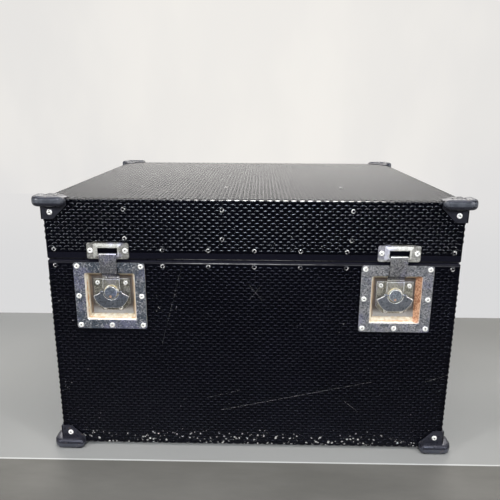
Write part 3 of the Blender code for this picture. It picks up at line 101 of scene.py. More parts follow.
class Finish:
    """One material and its nodes."""

    def __init__(self, name, colour, roughness, metallic=0.0):
        self.material = bpy.data.materials.new(name)
        self.material.use_nodes = True
        self.nodes = self.material.node_tree.nodes
        self.links = self.material.node_tree.links
        self.shader = self.nodes["Principled BSDF"]
        self.shader.inputs["Base Color"].default_value = (*colour, 1.0)
        self.shader.inputs["Roughness"].default_value = roughness
        self.shader.inputs["Metallic"].default_value = metallic
        self.place = self.nodes.new("ShaderNodeTexCoord").outputs["Object"]

    def node(self, kind, **inputs):
        made = self.nodes.new(kind)
        for name, value in inputs.items():
            socket = made.inputs[name.replace("_", " ")]
            if hasattr(value, "links"):
                self.links.new(value, socket)
            else:
                socket.default_value = value
        return made

    def noise(self, scale, detail=3.0, roughness=0.5, stretch=(1, 1, 1)):
        """Cloudy values round one half; stretch scales the pattern along each axis."""
        spot = self.node("ShaderNodeMapping", Vector=self.place, Scale=stretch).outputs[0]
        made = self.node("ShaderNodeTexNoise", Vector=spot, Scale=scale, Detail=detail,
                         Roughness=roughness)
        return made.outputs["Fac"]

    def cells(self, scale, randomness=1.0, feature="F1", stretch=(1, 1, 1)):
        spot = self.node("ShaderNodeMapping", Vector=self.place, Scale=stretch).outputs[0]
        made = self.node("ShaderNodeTexVoronoi", Vector=spot, Scale=scale, Randomness=randomness)
        made.feature = feature
        return made.outputs["Distance"]

    def span(self, value, low, high, to_low=0.0, to_high=1.0):
        """Map a value's span onto another, clamped and eased."""
        made = self.node("ShaderNodeMapRange", Value=value, To_Min=to_low, To_Max=to_high,
                         From_Min=low, From_Max=high)
        made.interpolation_type = "SMOOTHSTEP"
        return made.outputs["Result"]

    def axis(self, index):
        """Height or place along one axis of the case."""
        return self.node("ShaderNodeSeparateXYZ", Vector=self.place).outputs[index]

    def maths(self, operation, first, second=0.0):
        made = self.nodes.new("ShaderNodeMath")
        made.operation = operation
        for socket, value in zip(made.inputs, (first, second)):
            if hasattr(value, "links"):
                self.links.new(value, socket)
            else:
                socket.default_value = value
        return made.outputs[0]

    def mix(self, share, first, second):
        made = self.nodes.new("ShaderNodeMix")
        made.data_type = "RGBA"
        ends = [socket for socket in made.inputs if socket.type == "RGBA"]
        self.links.new(share, made.inputs[0])
        for socket, value in zip(ends, (first, second)):
            if hasattr(value, "links"):
                self.links.new(value, socket)
            else:
                socket.default_value = (*value, 1.0)
        return [socket for socket in made.outputs if socket.type == "RGBA"][0]

    def use(self, name, value):
        self.links.new(value, self.shader.inputs[name])

    def bump(self, height, strength, distance):
        made = self.node("ShaderNodeBump", Height=height, Strength=strength, Distance=distance)
        self.use("Normal", made.outputs["Normal"])

    def gloss(self, **values):
        for name, value in values.items():
            self.shader.inputs[name.replace("_", " ")].default_value = value

    def twin(self, name, **values):
        """A copy of this finish with another gloss."""
        made = Finish.__new__(Finish)
        made.material = self.material.copy()
        made.material.name = name
        made.nodes = made.material.node_tree.nodes
        made.links = made.material.node_tree.links
        made.shader = made.nodes["Principled BSDF"]
        made.place = made.nodes["Texture Coordinate"].outputs["Object"]
        made.gloss(**values)
        return made


# %% [markdown]
# The sheet is a black plastic-faced metal with a glossy skin. At a grazing angle, as on the
# lid's top, it mirrors the pale room and turns grey; seen square on it stays near black. Old
# scuffs are pale specks on the crowns of the embossing, strongest low on the front, and a few
# long scratches cross it. A Mapping node lays each scratch along the X axis, so that a plain
# comparison tells what lies on it.

# %% Finish of the embossed sheet
sheet_black = Finish("sheet_black", (0.002, 0.002, 0.005), 0.22)
sheet_black.gloss(IOR=1.6, Specular_Tint=(0.13, 0.14, 0.19, 1.0))


def scratch(finish, start, end, width, broken=0.5, dots=900):
    """A mask along a line on the front face, between two (across, up) places."""
    length = math.dist(start, end)
    turn = math.atan2(end[1] - start[1], end[0] - start[0])
    local = finish.nodes.new("ShaderNodeMapping")
    local.vector_type = "TEXTURE"
    finish.links.new(finish.place, local.inputs["Vector"])
    local.inputs["Location"].default_value = (start[0], case_low.y, start[1])
    local.inputs["Rotation"].default_value = (0, -turn, 0)
    split = finish.node("ShaderNodeSeparateXYZ", Vector=local.outputs[0]).outputs
    near = finish.maths("LESS_THAN", finish.maths("ABSOLUTE", split[2]), width)
    front = finish.maths("LESS_THAN", finish.maths("ABSOLUTE", split[1]), 0.004)
    begun = finish.maths("GREATER_THAN", split[0], 0.0)
    ended = finish.maths("LESS_THAN", split[0], length)
    mask = finish.maths("MULTIPLY", finish.maths("MULTIPLY", near, front),
                        finish.maths("MULTIPLY", begun, ended))
    rough = finish.span(finish.noise(dots, 2), broken - 0.03, broken + 0.05)
    return finish.maths("MULTIPLY", mask, rough)


dust = sheet_black.span(sheet_black.noise(9, 5, 0.6), 0.45, 0.75)
low_down = sheet_black.span(sheet_black.axis(2), 0.012, 0.05, 1.0, 0.0)
worn = sheet_black.span(sheet_black.noise(16, 4, 0.7), 0.56, 0.70)
worn = sheet_black.maths("MAXIMUM", worn, sheet_black.maths("MULTIPLY", low_down, 0.95))
speck_size = sheet_black.maths("MAXIMUM", sheet_black.span(worn, 0, 1, 0.0, 0.20),
                               sheet_black.maths("MULTIPLY", low_down, 0.32))
scuffed = sheet_black.maths("LESS_THAN", sheet_black.cells(165), speck_size)
scuffed = sheet_black.maths("MULTIPLY", scuffed,
                            sheet_black.span(sheet_black.noise(260, 2), 0.46, 0.6))
for start, end, width, broken in (
        ((-0.0499, 0.0700), (0.1938, 0.1249), 0.00032, 0.50),
        ((0.1518, 0.0895), (0.1759, 0.0695), 0.0004, 0.50),
        ((0.2810, 0.1264), (0.3167, 0.1395), 0.0004, 0.50),
        ((-0.0056, 0.2888), (0.0149, 0.2644), 0.0006, 0.58),
        ((-0.0055, 0.2641), (0.0146, 0.2891), 0.0006, 0.58),
        ((-0.0774, 0.0911), (-0.0195, 0.1068), 0.0003, 0.54),
        ((-0.1091, 0.3201), (-0.1451, 0.1854), 0.0007, 0.62)):
    scuffed = sheet_black.maths("MAXIMUM", scuffed,
                                scratch(sheet_black, start, end, width, broken))
tone = sheet_black.mix(dust, (0.0006, 0.0006, 0.0018), (0.0014, 0.0014, 0.0034))
sheet_black.use("Base Color", sheet_black.mix(
    scuffed, tone, sheet_black.mix(low_down, (0.18, 0.18, 0.17), (0.42, 0.41, 0.39))))
sheet_black.use("Roughness", sheet_black.span(dust, 0, 1, 0.13, 0.19))
# Painted glint: the domes' upward faces take a much stronger specular tint than the rest of the
# sheet.
sheet_painted_glint = sheet_black.twin("sheet_painted_glint", Specular_Tint=(0.90, 0.94, 1.0, 1.0))
sheet_painted_glint.use("Roughness", sheet_painted_glint.span(sheet_painted_glint.noise(30, 3), 0.3, 0.7, 0.18, 0.27))
# A weaker copy for the base's domes, so their painted glints are dimmer.
sheet_weaker_painted_glint = sheet_black.twin("sheet_weaker_painted_glint", Specular_Tint=(0.36, 0.38, 0.48, 1.0))
# Painted highlight: the front crowns of the lid's fold domes take this pale metallic finish,
# brightest near the middle of the front.
sheet_painted_fold_highlight = Finish("sheet_painted_fold_highlight", (0.6, 0.6, 0.6), 0.35, 0.3)
painted_highlight = sheet_painted_fold_highlight.maths("MULTIPLY", sheet_painted_fold_highlight.span(
    sheet_painted_fold_highlight.noise(150, 4, 0.6), 0.30, 0.52, 0.2, 1.0), sheet_painted_fold_highlight.span(
        sheet_painted_fold_highlight.maths("ABSOLUTE", sheet_painted_fold_highlight.maths("ADD", sheet_painted_fold_highlight.axis(0), -0.045)),
        0.07, 0.19, 1.0, 0.04))
sheet_painted_fold_highlight.use("Base Color", sheet_painted_fold_highlight.mix(painted_highlight, (0.006, 0.006, 0.009),
                                                (0.66, 0.63, 0.60)))

# %% [markdown]
# The rims either side of the parting line are rolled aluminium painted black. Along each edge
# runs a broken bright line of painted highlight, strongest near the middle of the front, so the
# mask follows the height of each edge and is broken up by noise along it.

# %% Finish of the rims
rim_black = Finish("rim_black", (0.006, 0.006, 0.010), 0.3)
rim_black.gloss(Specular_Tint=(0.07, 0.07, 0.09, 1.0))
painted_highlight = None
# Painted highlight: a broken bright line along each rim edge, strongest near the middle of the front.
for edge_height in (PARTING + 0.0016, PARTING - 0.0044):
    away = rim_black.maths("ABSOLUTE", rim_black.maths("SUBTRACT", rim_black.axis(2), edge_height))
    line = rim_black.span(away, 0.0003, 0.0007, 1.0, 0.0)
    painted_highlight = line if painted_highlight is None else rim_black.maths("MAXIMUM", painted_highlight, line)
broken = rim_black.span(rim_black.noise(55, 5, 0.75, (1, 1, 4)), 0.34, 0.56, 0.35, 1.0)
along = rim_black.axis(0)
highlight_middle = rim_black.maths("MULTIPLY", rim_black.span(along, -0.16, -0.07, 0.10, 1.0),
                          rim_black.span(along, 0.03, 0.15, 1.0, 0.18))
painted_highlight = rim_black.maths("MULTIPLY", rim_black.maths("MULTIPLY", painted_highlight, broken), highlight_middle)
rim_black.use("Base Color", rim_black.mix(painted_highlight, (0.006, 0.006, 0.010), (0.36, 0.35, 0.35)))
rim_black.use("Roughness", rim_black.span(rim_black.noise(120, 4), 0.3, 0.7, 0.24, 0.40))

# %% [markdown]
# Zinc plate that has aged: grey with blue and violet patches, peppered with fine dark and pale
# specks. The same recipe serves the straps, wings and flanges, and paints pieces on the case's left
# darker and those on its right lighter, as painted shade and light. Inside the dishes the plating
# has gone and rust and cream corrosion run down the walls, most on the right-hand latch.

# %% Finishes of plated steel


def zinc_finish(name, low_tone, high_tone, roughness, speckle, metallic=0.55):
    """Mottled plate between two tones, darker to the left and lighter to the right as painted shade
    and light, peppered with dark pits and pale flecks.
    """
    finish = Finish(name, low_tone, roughness, metallic)
    # Painted shade and light: the span along X darkens pieces on the case's left and lightens those
    # on its right.
    cloud = finish.maths("ADD", finish.span(finish.noise(90, 5, 0.7), 0.36, 0.64),
                         finish.span(finish.axis(0), -0.1, 0.1, -0.40, 0.38))
    base = finish.mix(cloud, low_tone, high_tone)
    violet = finish.span(finish.noise(34, 2), 0.50, 0.64, 0.0, 0.55)
    base = finish.mix(violet, base, (high_tone[0] * 0.80, high_tone[1] * 0.80,
                                     high_tone[2] * 1.18))
    pits = finish.span(finish.noise(340, 3, 0.6), 0.50, 0.58, 0.0, speckle)
    flecks = finish.span(finish.noise(410, 3, 0.6, (1, 1, 1.3)), 0.56, 0.62, 0.0, speckle)
    base = finish.mix(pits, base, [tone * 0.32 for tone in low_tone])
    pale = [min(tone * 1.9, 0.92) for tone in high_tone]
    finish.use("Base Color", finish.mix(flecks, base, pale))
    finish.use("Roughness", finish.span(finish.noise(400, 4), 0.3, 0.7, roughness - 0.1,
                                        roughness + 0.15))
    finish.bump(finish.noise(420, 4, 0.6), 0.3, 0.0004)
    return finish


zinc = zinc_finish("zinc_plate", (0.082, 0.098, 0.124), (0.30, 0.295, 0.305), 0.42, 0.75)
keeper_painted_light = zinc_finish("keeper_painted_light", (0.44, 0.43, 0.39), (0.70, 0.69, 0.64), 0.36, 0.30, 0.35)
keeper_zinc = zinc_finish("keeper_zinc", (0.28, 0.27, 0.25), (0.46, 0.45, 0.42), 0.38, 0.45)
strap_zinc = zinc_finish("strap_zinc", (0.13, 0.13, 0.145), (0.24, 0.235, 0.235), 0.40, 0.75)
# Painted highlight: a pale zinc for rounded edges, standing in for the light they catch.
edge_painted_highlight = zinc_finish("edge_painted_highlight", (0.62, 0.61, 0.60), (0.86, 0.85, 0.82), 0.30, 0.15, 0.45)
wing_zinc = zinc_finish("wing_zinc", (0.095, 0.105, 0.125), (0.17, 0.18, 0.20), 0.34, 0.35)
plate_zinc = zinc_finish("plate_zinc", (0.22, 0.21, 0.18), (0.42, 0.40, 0.33), 0.40, 0.65)
yoke_zinc = zinc_finish("yoke_zinc", (0.26, 0.25, 0.22), (0.40, 0.38, 0.33), 0.36, 0.45)
hub_steel = zinc_finish("hub_steel", (0.13, 0.15, 0.18), (0.24, 0.27, 0.31), 0.25, 0.2)
hub_brass = Finish("hub_brass", (0.62, 0.48, 0.22), 0.34, 0.35)
hub_brass.use("Base Color", hub_brass.mix(hub_brass.span(hub_brass.noise(220, 4), 0.42, 0.6),
                                          (0.80, 0.66, 0.38), (0.86, 0.82, 0.72)))
hub_brass.bump(hub_brass.noise(900, 3), 0.2, 0.0002)
hub_rust = Finish("hub_rust", (0.55, 0.24, 0.12), 0.6)
hub_rust.use("Base Color", hub_rust.mix(hub_rust.noise(700, 3), (0.30, 0.16, 0.11),
                                        (0.62, 0.42, 0.30)))

# %% [markdown]
# The dish is the most weathered part. Its depth below the front decides the colour: pale at the
# mouth, cream with rust lines half way down, and dark at the foot of the side walls, which is
# painted shade where they meet the floor. On the right-hand latch the right wall has rusted
# orange all over.

# %% Finishes of the latch dish
rusty = Finish("rusted_wall", (0.5, 0.3, 0.15), 0.5, 0.1)
depth = rusty.maths("ADD", rusty.axis(1), -case_low.y)
streak = rusty.span(rusty.noise(150, 5, 0.7, (1, 1, 0.4)), 0.36, 0.62)
side_wall = rusty.span(rusty.axis(2), HUB_Z - 0.0395, HUB_Z - 0.0365)
cream = rusty.mix(streak, (0.72, 0.67, 0.55), (0.52, 0.41, 0.27))
pale = rusty.mix(streak, (0.86, 0.83, 0.76), (0.72, 0.62, 0.50))
painted_foot_shade = rusty.mix(streak, (0.13, 0.10, 0.085), (0.24, 0.16, 0.10))
orange = rusty.mix(rusty.span(rusty.noise(300, 4, 0.7), 0.36, 0.64), (0.30, 0.10, 0.04),
                   (0.70, 0.42, 0.26))
wall_tone = rusty.mix(rusty.span(depth, 0.0, 0.0022), pale, cream)
stain = rusty.maths("ABSOLUTE", rusty.maths("SUBTRACT", depth, 0.0030))
stain = rusty.maths("MULTIPLY", rusty.span(stain, 0.0002, 0.0016, 1.0, 0.0),
                    rusty.span(rusty.noise(60, 3), 0.40, 0.60))
wall_tone = rusty.mix(stain, wall_tone, (0.50, 0.24, 0.09))
# Painted shade: the side walls darken towards the floor.
foot = rusty.maths("MULTIPLY", rusty.span(depth, 0.0048, 0.0080), side_wall)
wall_tone = rusty.mix(foot, wall_tone, painted_foot_shade)
right_wall = rusty.span(rusty.axis(0), LATCH_X + 0.0300, LATCH_X + 0.0316)
rust_share = rusty.maths("MULTIPLY", right_wall, rusty.span(depth, -0.0012, 0.0008, 0.35, 1.0))
rusty.use("Base Color", rusty.mix(rust_share, wall_tone, orange))
rusty.bump(rusty.noise(700, 4, 0.6), 0.35, 0.0004)

floor_plate = zinc_finish("dish_floor", (0.11, 0.10, 0.10), (0.22, 0.20, 0.18), 0.42, 0.5)
pale_foot = floor_plate.span(floor_plate.axis(2), HUB_Z - 0.034, HUB_Z - 0.022, 1.0, 0.0)
dark_floor = floor_plate.mix(floor_plate.noise(160, 4, 0.6), (0.10, 0.085, 0.08),
                             (0.24, 0.20, 0.17))
light_floor = floor_plate.mix(floor_plate.noise(300, 4, 0.6), (0.36, 0.34, 0.34),
                              (0.60, 0.58, 0.55))
floor_plate.use("Base Color", floor_plate.mix(pale_foot, dark_floor, light_floor))

# %% [markdown]
# The rivets are bright plated tubes with a domed head, still nearly white where they catch the
# light, with a dark hole in the middle that is painted shade in the bore. The small black ones
# along the rims carry a broken pale ring round the top, a painted glint.

# %% Finishes of rivets, pins and the rest
rivet_bright = Finish("rivet_bright", (0.80, 0.79, 0.76), 0.32, 0.1)
rivet_bright.use("Base Color", rivet_bright.mix(
    rivet_bright.span(rivet_bright.noise(500, 3), 0.42, 0.66), (0.90, 0.89, 0.86),
    (0.68, 0.65, 0.60)))
rivet_bright.bump(rivet_bright.noise(1200, 3), 0.15, 0.0002)
rivet_hole_painted_shade = Finish("rivet_hole_painted_shade", (0.05, 0.045, 0.04), 0.7)
rivet_hole_painted_shade.use("Base Color", rivet_hole_painted_shade.mix(rivet_hole_painted_shade.noise(900), (0.07, 0.065, 0.06),
                                            (0.20, 0.18, 0.15)))
rivet_black = Finish("rivet_black", (0.02, 0.02, 0.025), 0.35, 0.2)
rivet_black.use("Base Color", rivet_black.mix(
    rivet_black.span(rivet_black.noise(650, 4, 0.7), 0.5, 0.62), (0.012, 0.012, 0.016),
    (0.10, 0.10, 0.10)))
rivet_ring_painted_glint = Finish("rivet_ring_painted_glint", (0.5, 0.5, 0.5), 0.30, 0.2)
rivet_ring_painted_glint.use("Base Color", rivet_ring_painted_glint.mix(
    rivet_ring_painted_glint.span(rivet_ring_painted_glint.noise(300, 4, 0.7), 0.47, 0.58), (0.012, 0.012, 0.016),
    (0.66, 0.64, 0.62)))
steel = Finish("pin_steel", (0.55, 0.55, 0.55), 0.3, 0.9)
steel.use("Roughness", steel.span(steel.noise(500, 4), 0.3, 0.7, 0.22, 0.42))

corner_black = Finish("corner_black", (0.022, 0.022, 0.024), 0.34)
chip = corner_black.span(corner_black.noise(170, 5, 0.75), 0.60, 0.68)
corner_black.use("Base Color", corner_black.mix(
    chip, corner_black.mix(corner_black.noise(60, 3), (0.010, 0.010, 0.014), (0.020, 0.020, 0.027)),
    (0.10, 0.075, 0.06)))
corner_black.gloss(IOR=1.6, Specular_Tint=(0.6, 0.62, 0.75, 1.0))
corner_bead = Finish("corner_bead", (0.04, 0.043, 0.055), 0.3)
corner_bead.use("Base Color", corner_bead.mix(
    corner_bead.span(corner_bead.noise(170, 5, 0.75), 0.58, 0.66),
    corner_bead.mix(corner_bead.noise(90, 4, 0.7), (0.026, 0.028, 0.038), (0.052, 0.056, 0.074)),
    (0.14, 0.11, 0.095)))
corner_bead.gloss(IOR=1.6)
corner_painted_highlight_band = Finish("corner_painted_highlight_band", (0.1, 0.1, 0.12), 0.4)
corner_painted_highlight_band.use("Base Color", corner_painted_highlight_band.mix(
    corner_painted_highlight_band.span(corner_painted_highlight_band.noise(110, 5, 0.7), 0.35, 0.65), (0.037, 0.041, 0.052),
    (0.074, 0.078, 0.093)))
corner_painted_highlight_band.bump(corner_painted_highlight_band.noise(420, 4, 0.6), 0.2, 0.0004)
corner_bead.use("Roughness", corner_bead.span(corner_bead.noise(240, 4), 0.3, 0.7, 0.36, 0.52))
corner_bead.bump(corner_bead.noise(420, 4, 0.6), 0.2, 0.0004)
corner_black.use("Roughness", corner_black.span(corner_black.noise(240, 4), 0.3, 0.7, 0.25, 0.5))
corner_black.bump(corner_black.noise(420, 4, 0.6), 0.25, 0.0004)

# %% [markdown]
# Plywood shows its grain on the panels' faces, stretched along the board. The lining is dark
# grey foam with open cells, and the grips are ribbed black rubber.

# %% Finishes of wood, foam and rubber
plywood = Finish("plywood", (0.5, 0.34, 0.19), 0.65)
grain = plywood.noise(40, 6, 0.6, (0.12, 1, 1))
plywood.use("Base Color", plywood.mix(plywood.span(grain, 0.35, 0.65), (0.42, 0.27, 0.14),
                                      (0.62, 0.45, 0.27)))
plywood.bump(grain, 0.2, 0.0005)

foam_grey = Finish("foam_grey", (0.05, 0.05, 0.055), 0.95)
pore = foam_grey.cells(700)
foam_grey.use("Base Color", foam_grey.mix(foam_grey.span(pore, 0.1, 0.5), (0.018, 0.018, 0.02),
                                          (0.085, 0.085, 0.09)))
foam_grey.bump(pore, 0.6, 0.0008)
foam_grey.gloss(Sheen_Weight=0.3, Sheen_Roughness=0.6)

rubber = Finish("grip_rubber", (0.015, 0.015, 0.016), 0.7)
rubber.use("Roughness", rubber.span(rubber.noise(200, 4), 0.3, 0.7, 0.55, 0.8))
rubber.bump(rubber.noise(900, 3), 0.2, 0.0003)

# %% [markdown]
# Every mesh tool in Blender works on what is selected, so these helpers select by place or by
# normal, as a hand would by clicking. A piece is started from a primitive at its size, shaped in
# edit mode, and finished by placing its mesh in the case's frame with its object at the origin.

# %% Helpers for modelling


def only(piece):
    """Make one object the only one selected, and the active one."""
    if bpy.context.mode != "OBJECT":
        bpy.ops.object.mode_set(mode="OBJECT")
    for other in bpy.context.selected_objects:
        other.select_set(False)
    piece.select_set(True)
    bpy.context.view_layer.objects.active = piece
    return piece


def added(name):
    """Name the primitive that was just added and apply its scale and turn to its mesh."""
    piece = bpy.context.object
    piece.name = name
    piece.data.name = name
    bpy.ops.object.transform_apply(location=True, rotation=True, scale=True)
    return piece


def add_block(name, low, high):
    """A cube stretched between two corners, as the start of a piece."""
    middle = [(a + b) / 2 for a, b in zip(low, high)]
    bpy.ops.object.select_all(action="DESELECT")
    bpy.ops.mesh.primitive_cube_add(size=1, location=middle)
    bpy.context.object.scale = [b - a for a, b in zip(low, high)]
    return added(name)


def add_plate(name, low_x, high_x, low_z, high_z, out):
    """An upright rectangle facing -Y, as the start of a pressing."""
    bpy.ops.object.select_all(action="DESELECT")
    bpy.ops.mesh.primitive_plane_add(
        size=1, location=((low_x + high_x) / 2, -out, (low_z + high_z) / 2),
        rotation=(math.pi / 2, 0, 0))
    bpy.context.object.scale = (high_x - low_x, high_z - low_z, 1)
    return added(name)


def add_rod(name, radius, start, end, sides=24, place=(0, 0), axis="x"):
    """A cylinder along X between two places, or along Y (out of the front) if axis is y."""
    bpy.ops.object.select_all(action="DESELECT")
    middle = (start + end) / 2
    if axis == "x":
        spot, turn = (middle, -place[0], place[1]), (0, math.pi / 2, 0)
    else:
        spot, turn = (place[0], -middle, place[1]), (math.pi / 2, 0, 0)
    bpy.ops.mesh.primitive_cylinder_add(
        vertices=sides, radius=radius, depth=abs(end - start), location=spot, rotation=turn)
    return added(name)


def pick(piece, kind, test):
    """Enter edit mode with only the vertices, edges or faces selected that pass a test."""
    only(piece)
    bpy.ops.object.mode_set(mode="EDIT")
    bpy.ops.mesh.select_mode(type=kind)
    bpy.ops.mesh.select_all(action="DESELECT")
    shape = bmesh.from_edit_mesh(piece.data)
    parts = {"VERT": shape.verts, "EDGE": shape.edges, "FACE": shape.faces}[kind]
    for part in parts:
        if test(part):
            part.select_set(True)
    shape.select_flush_mode()
    bmesh.update_edit_mesh(piece.data)


def leave():
    bpy.ops.object.mode_set(mode="OBJECT")


def middle_of(edge):
    return (edge.verts[0].co + edge.verts[1].co) / 2


def is_convex_rim(edge, least=0.6):
    """A sharp edge between two faces."""
    return len(edge.link_faces) == 2 and edge.calc_face_angle(0) > least


def soften(piece, width, segments=2, angle=35.0, worn=-1):
    """Round every sharp edge by a Bevel modifier; worn is the finish slot of the new faces, which
    some pieces use for a painted edge highlight.
    """
    only(piece)
    bevel = piece.modifiers.new("soften", "BEVEL")
    bevel.width = width
    bevel.segments = segments
    bevel.material = worn
    bevel.limit_method = "ANGLE"
    bevel.angle_limit = math.radians(angle)
    bpy.ops.object.modifier_apply(modifier=bevel.name)
    return piece


def thicken(piece, thickness, offset=-1.0):
    only(piece)
    wall = piece.modifiers.new("wall", "SOLIDIFY")
    wall.thickness = thickness
    wall.offset = offset
    wall.use_even_offset = True
    bpy.ops.object.modifier_apply(modifier=wall.name)
    return piece


def carve(piece, tool, operation="DIFFERENCE"):
    """Cut a tool's shape out of a piece, or join it on, and delete the tool."""
    only(piece)
    cut = piece.modifiers.new("carve", "BOOLEAN")
    cut.operation = operation
    cut.object = tool
    bpy.ops.object.modifier_apply(modifier=cut.name)
    mesh = tool.data
    bpy.data.objects.remove(tool)
    bpy.data.meshes.remove(mesh)
    return piece


def tidy_normals(piece):
    pick(piece, "VERT", lambda vertex: True)
    bpy.ops.mesh.select_all(action="SELECT")
    bpy.ops.mesh.remove_doubles(threshold=1e-6)
    bpy.ops.mesh.normals_make_consistent(inside=False)
    leave()
    return piece


def smooth(piece, angle=40.0):
    only(piece)
    bpy.ops.object.shade_smooth_by_angle(angle=math.radians(angle))
    return piece


def paint(piece, *finishes):
    piece.data.materials.clear()
    for finish in finishes:
        piece.data.materials.append(finish.material)
    return piece


def copy_piece(piece, name, matrix=None):
    """A copy with its own mesh, carried by a matrix that is applied to the mesh."""
    twin = bpy.data.objects.new(name, piece.data.copy())
    twin.data.name = name
    scene.collection.objects.link(twin)
    if matrix is not None:
        twin.data.transform(matrix)
        if matrix.determinant() < 0:
            twin.data.flip_normals()
    return twin


def drop(piece):
    mesh = piece.data
    bpy.data.objects.remove(piece)
    bpy.data.meshes.remove(mesh)


def join(name, parts):
    """Join several objects into one piece."""
    only(parts[0])
    for part in parts[1:]:
        part.select_set(True)
    bpy.ops.object.join()
    parts[0].name = name
    parts[0].data.name = name
    return parts[0]


def settle(piece, body, replaced=()):
    """Say which body a finished piece moves with, and the CAD nodes it stands for."""
    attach(piece, body)
    if replaced:
        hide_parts(*replaced)
    print(piece.name, len(piece.data.polygons), "faces on", body)
    return piece


def repaint_node(name, finish):
    """Give a CAD node that stays in view its finish."""
    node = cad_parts[name]
    node.data.materials.clear()
    node.data.materials.append(finish.material)


# %% [markdown]
# The boards, rims, skins and lid brackets have their true shapes in the frame already, so they
# only get their finishes.

# %% Finishes on the frame's own pieces
for level, boards in (("base", ("bottom", "front", "back", "left", "right")),
                      ("lid", ("top", "front", "back", "left", "right"))):
    for board in boards:
        repaint_node(f"{level}_{board}_panel", plywood)
    repaint_node(f"{level}_skin", sheet_black)
    repaint_node(f"{level}_rim", rim_black)
for side in ("left", "middle", "right"):
    repaint_node(f"lid_{side}_bracket", zinc)
for side in ("left", "right"):
    repaint_node(f"{side}_hinge_base_leaf", zinc)
    repaint_node(f"{side}_hinge_lid_leaf", zinc)
    repaint_node(f"{side}_hinge_pin", steel)
    repaint_node(f"{side}_wing_pin", wing_zinc)
    repaint_node(f"{side}_hasp_pin", steel)

# %% [markdown]
# The embossing is what makes the sheet: low oval domes in staggered rows, 12.15 mm apart along a
# row and 4.75 mm from row to row. One dome is modelled from a circle that is extruded and drawn
# in twice. Two Array modifiers spread a staggered pair over a whole face, and the domes that
# hardware covers are deleted. Each dome has two dozen faces, because there are thousands.

# %% One dome and its staggered neighbour
DOME_PITCH = 0.01215
DOME_ROW = 0.00475
DOME_LONG = 0.0055
DOME_SHORT = 0.0030
DOME_RISE = 0.00075
DOME_ROOT = 0.00015
DOME_SIDES = 8
DOME_RINGS = ((0.76, 0.52), (0.36, 0.95))


def add_dome(long=DOME_LONG, short=DOME_SHORT, rise=DOME_RISE, root=DOME_ROOT):
    """A low oval dome on the origin, in two rings that draw in towards the crown."""
    bpy.ops.object.select_all(action="DESELECT")
    bpy.ops.mesh.primitive_circle_add(vertices=DOME_SIDES, radius=1, fill_type="NGON",
                                      location=(0, 0, -root), rotation=(0, 0, math.pi / 8))
    bpy.context.object.scale = (1, 1, 1)
    dome = added("dome")
    share_before, height_before = 1.0, -root
    pick(dome, "FACE", lambda face: True)
    bpy.ops.transform.resize(value=(long, short, 1), center_override=(0, 0, 0))
    for share, part in DOME_RINGS:
        bpy.ops.mesh.extrude_region_move()
        bpy.ops.transform.translate(value=(0, 0, rise * part - height_before))
        bpy.ops.transform.resize(value=(share / share_before, share / share_before, 1),
                                 center_override=(0, 0, 0))
        share_before, height_before = share, rise * part
    leave()
    return tidy_normals(dome)


dome = add_dome()
# Each dome's upward faces take the painted glint finish.
paint(dome, sheet_black, sheet_painted_glint)
for polygon in dome.data.polygons:
    polygon.material_index = int(polygon.normal.y > 0.1)
dome_vertices = len(dome.data.vertices)
neighbour = copy_piece(dome, "dome_b", Matrix.Translation((DOME_PITCH / 2, DOME_ROW, 0)))
dome_pair = join("dome_pair", [dome, neighbour])
print("a dome has", len(dome_pair.data.polygons) // 2, "faces")

# %% Spread the domes over a face


def repeat(field, steps):
    """Apply an Array modifier for each (count, step)."""
    only(field)
    for count, step in steps:
        array = field.modifiers.new("repeat", "ARRAY")
        array.use_relative_offset = False
        array.use_constant_offset = True
        array.constant_offset_displace = step
        array.count = count
        bpy.ops.object.modifier_apply(modifier=array.name)


def dome_centres(field):
    spots = np.empty(len(field.data.vertices) * 3)
    field.data.vertices.foreach_get("co", spots)
    return spots.reshape(-1, dome_vertices, 3).mean(axis=1)


def lose_domes(field, gone):
    marked = np.repeat(gone, dome_vertices)
    pick(field, "VERT", lambda vertex: marked[vertex.index])
    bpy.ops.mesh.delete(type="VERT")
    leave()


def emboss(name, body, matrix, width, height, covered=(), margin=0.0045, halves=False, tall=1.0):
    """Domes over a face; the matrix carries X across, Y up and Z out of it, from its middle."""
    field = copy_piece(dome_pair, name, Matrix.Diagonal((1, 1, tall, 1)))
    columns = int(width / DOME_PITCH) + 3
    rows = int(height / DOME_ROW / 2) + 3
    repeat(field, ((columns, (DOME_PITCH, 0, 0)), (rows, (0, DOME_ROW * 2, 0))))
    shift = Vector((-(columns // 2) * DOME_PITCH, -(rows // 2) * DOME_ROW * 2, 0))
    field.data.transform(Matrix.Translation(shift))
    centres = dome_centres(field)
    gone = (np.abs(centres[:, 0]) > width / 2 - margin) | (
        np.abs(centres[:, 1]) > height / 2 - margin * 0.6)
    for low_x, high_x, low_y, high_y in covered:
        gone |= ((centres[:, 0] > low_x) & (centres[:, 0] < high_x)
                 & (centres[:, 1] > low_y) & (centres[:, 1] < high_y))
    lose_domes(field, gone)
    parts = [field]
    if halves:
        parts.append(copy_piece(field, f"{name}_far"))
        far = dome_centres(field)[:, 1] > 0
        lose_domes(parts[0], far)
        lose_domes(parts[1], ~far)
    for part in parts:
        part.data.transform(matrix)
        part.data.shade_smooth()
        # On the base the upward dome faces take the weaker painted glint.
        if body == "base":
            part.material_slots[1].material = sheet_weaker_painted_glint.material
        settle(part, body)


def face_matrix(turn, middle_up):
    """X across, Y up and Z out, from the middle of one side of the case."""
    return on_side(turn, 0, middle_up) @ Matrix.Rotation(math.pi / 2, 4, "X")


BASE_TOP = PARTING - BASE_BAND
LID_FOOT = PARTING + LID_BAND
base_middle = (case_low.z + BASE_TOP) / 2
base_height = BASE_TOP - case_low.z
lid_middle = (LID_FOOT + case_high.z) / 2
lid_height = case_high.z - LID_FOOT
half_width = case_high.x
half_depth = case_high.y

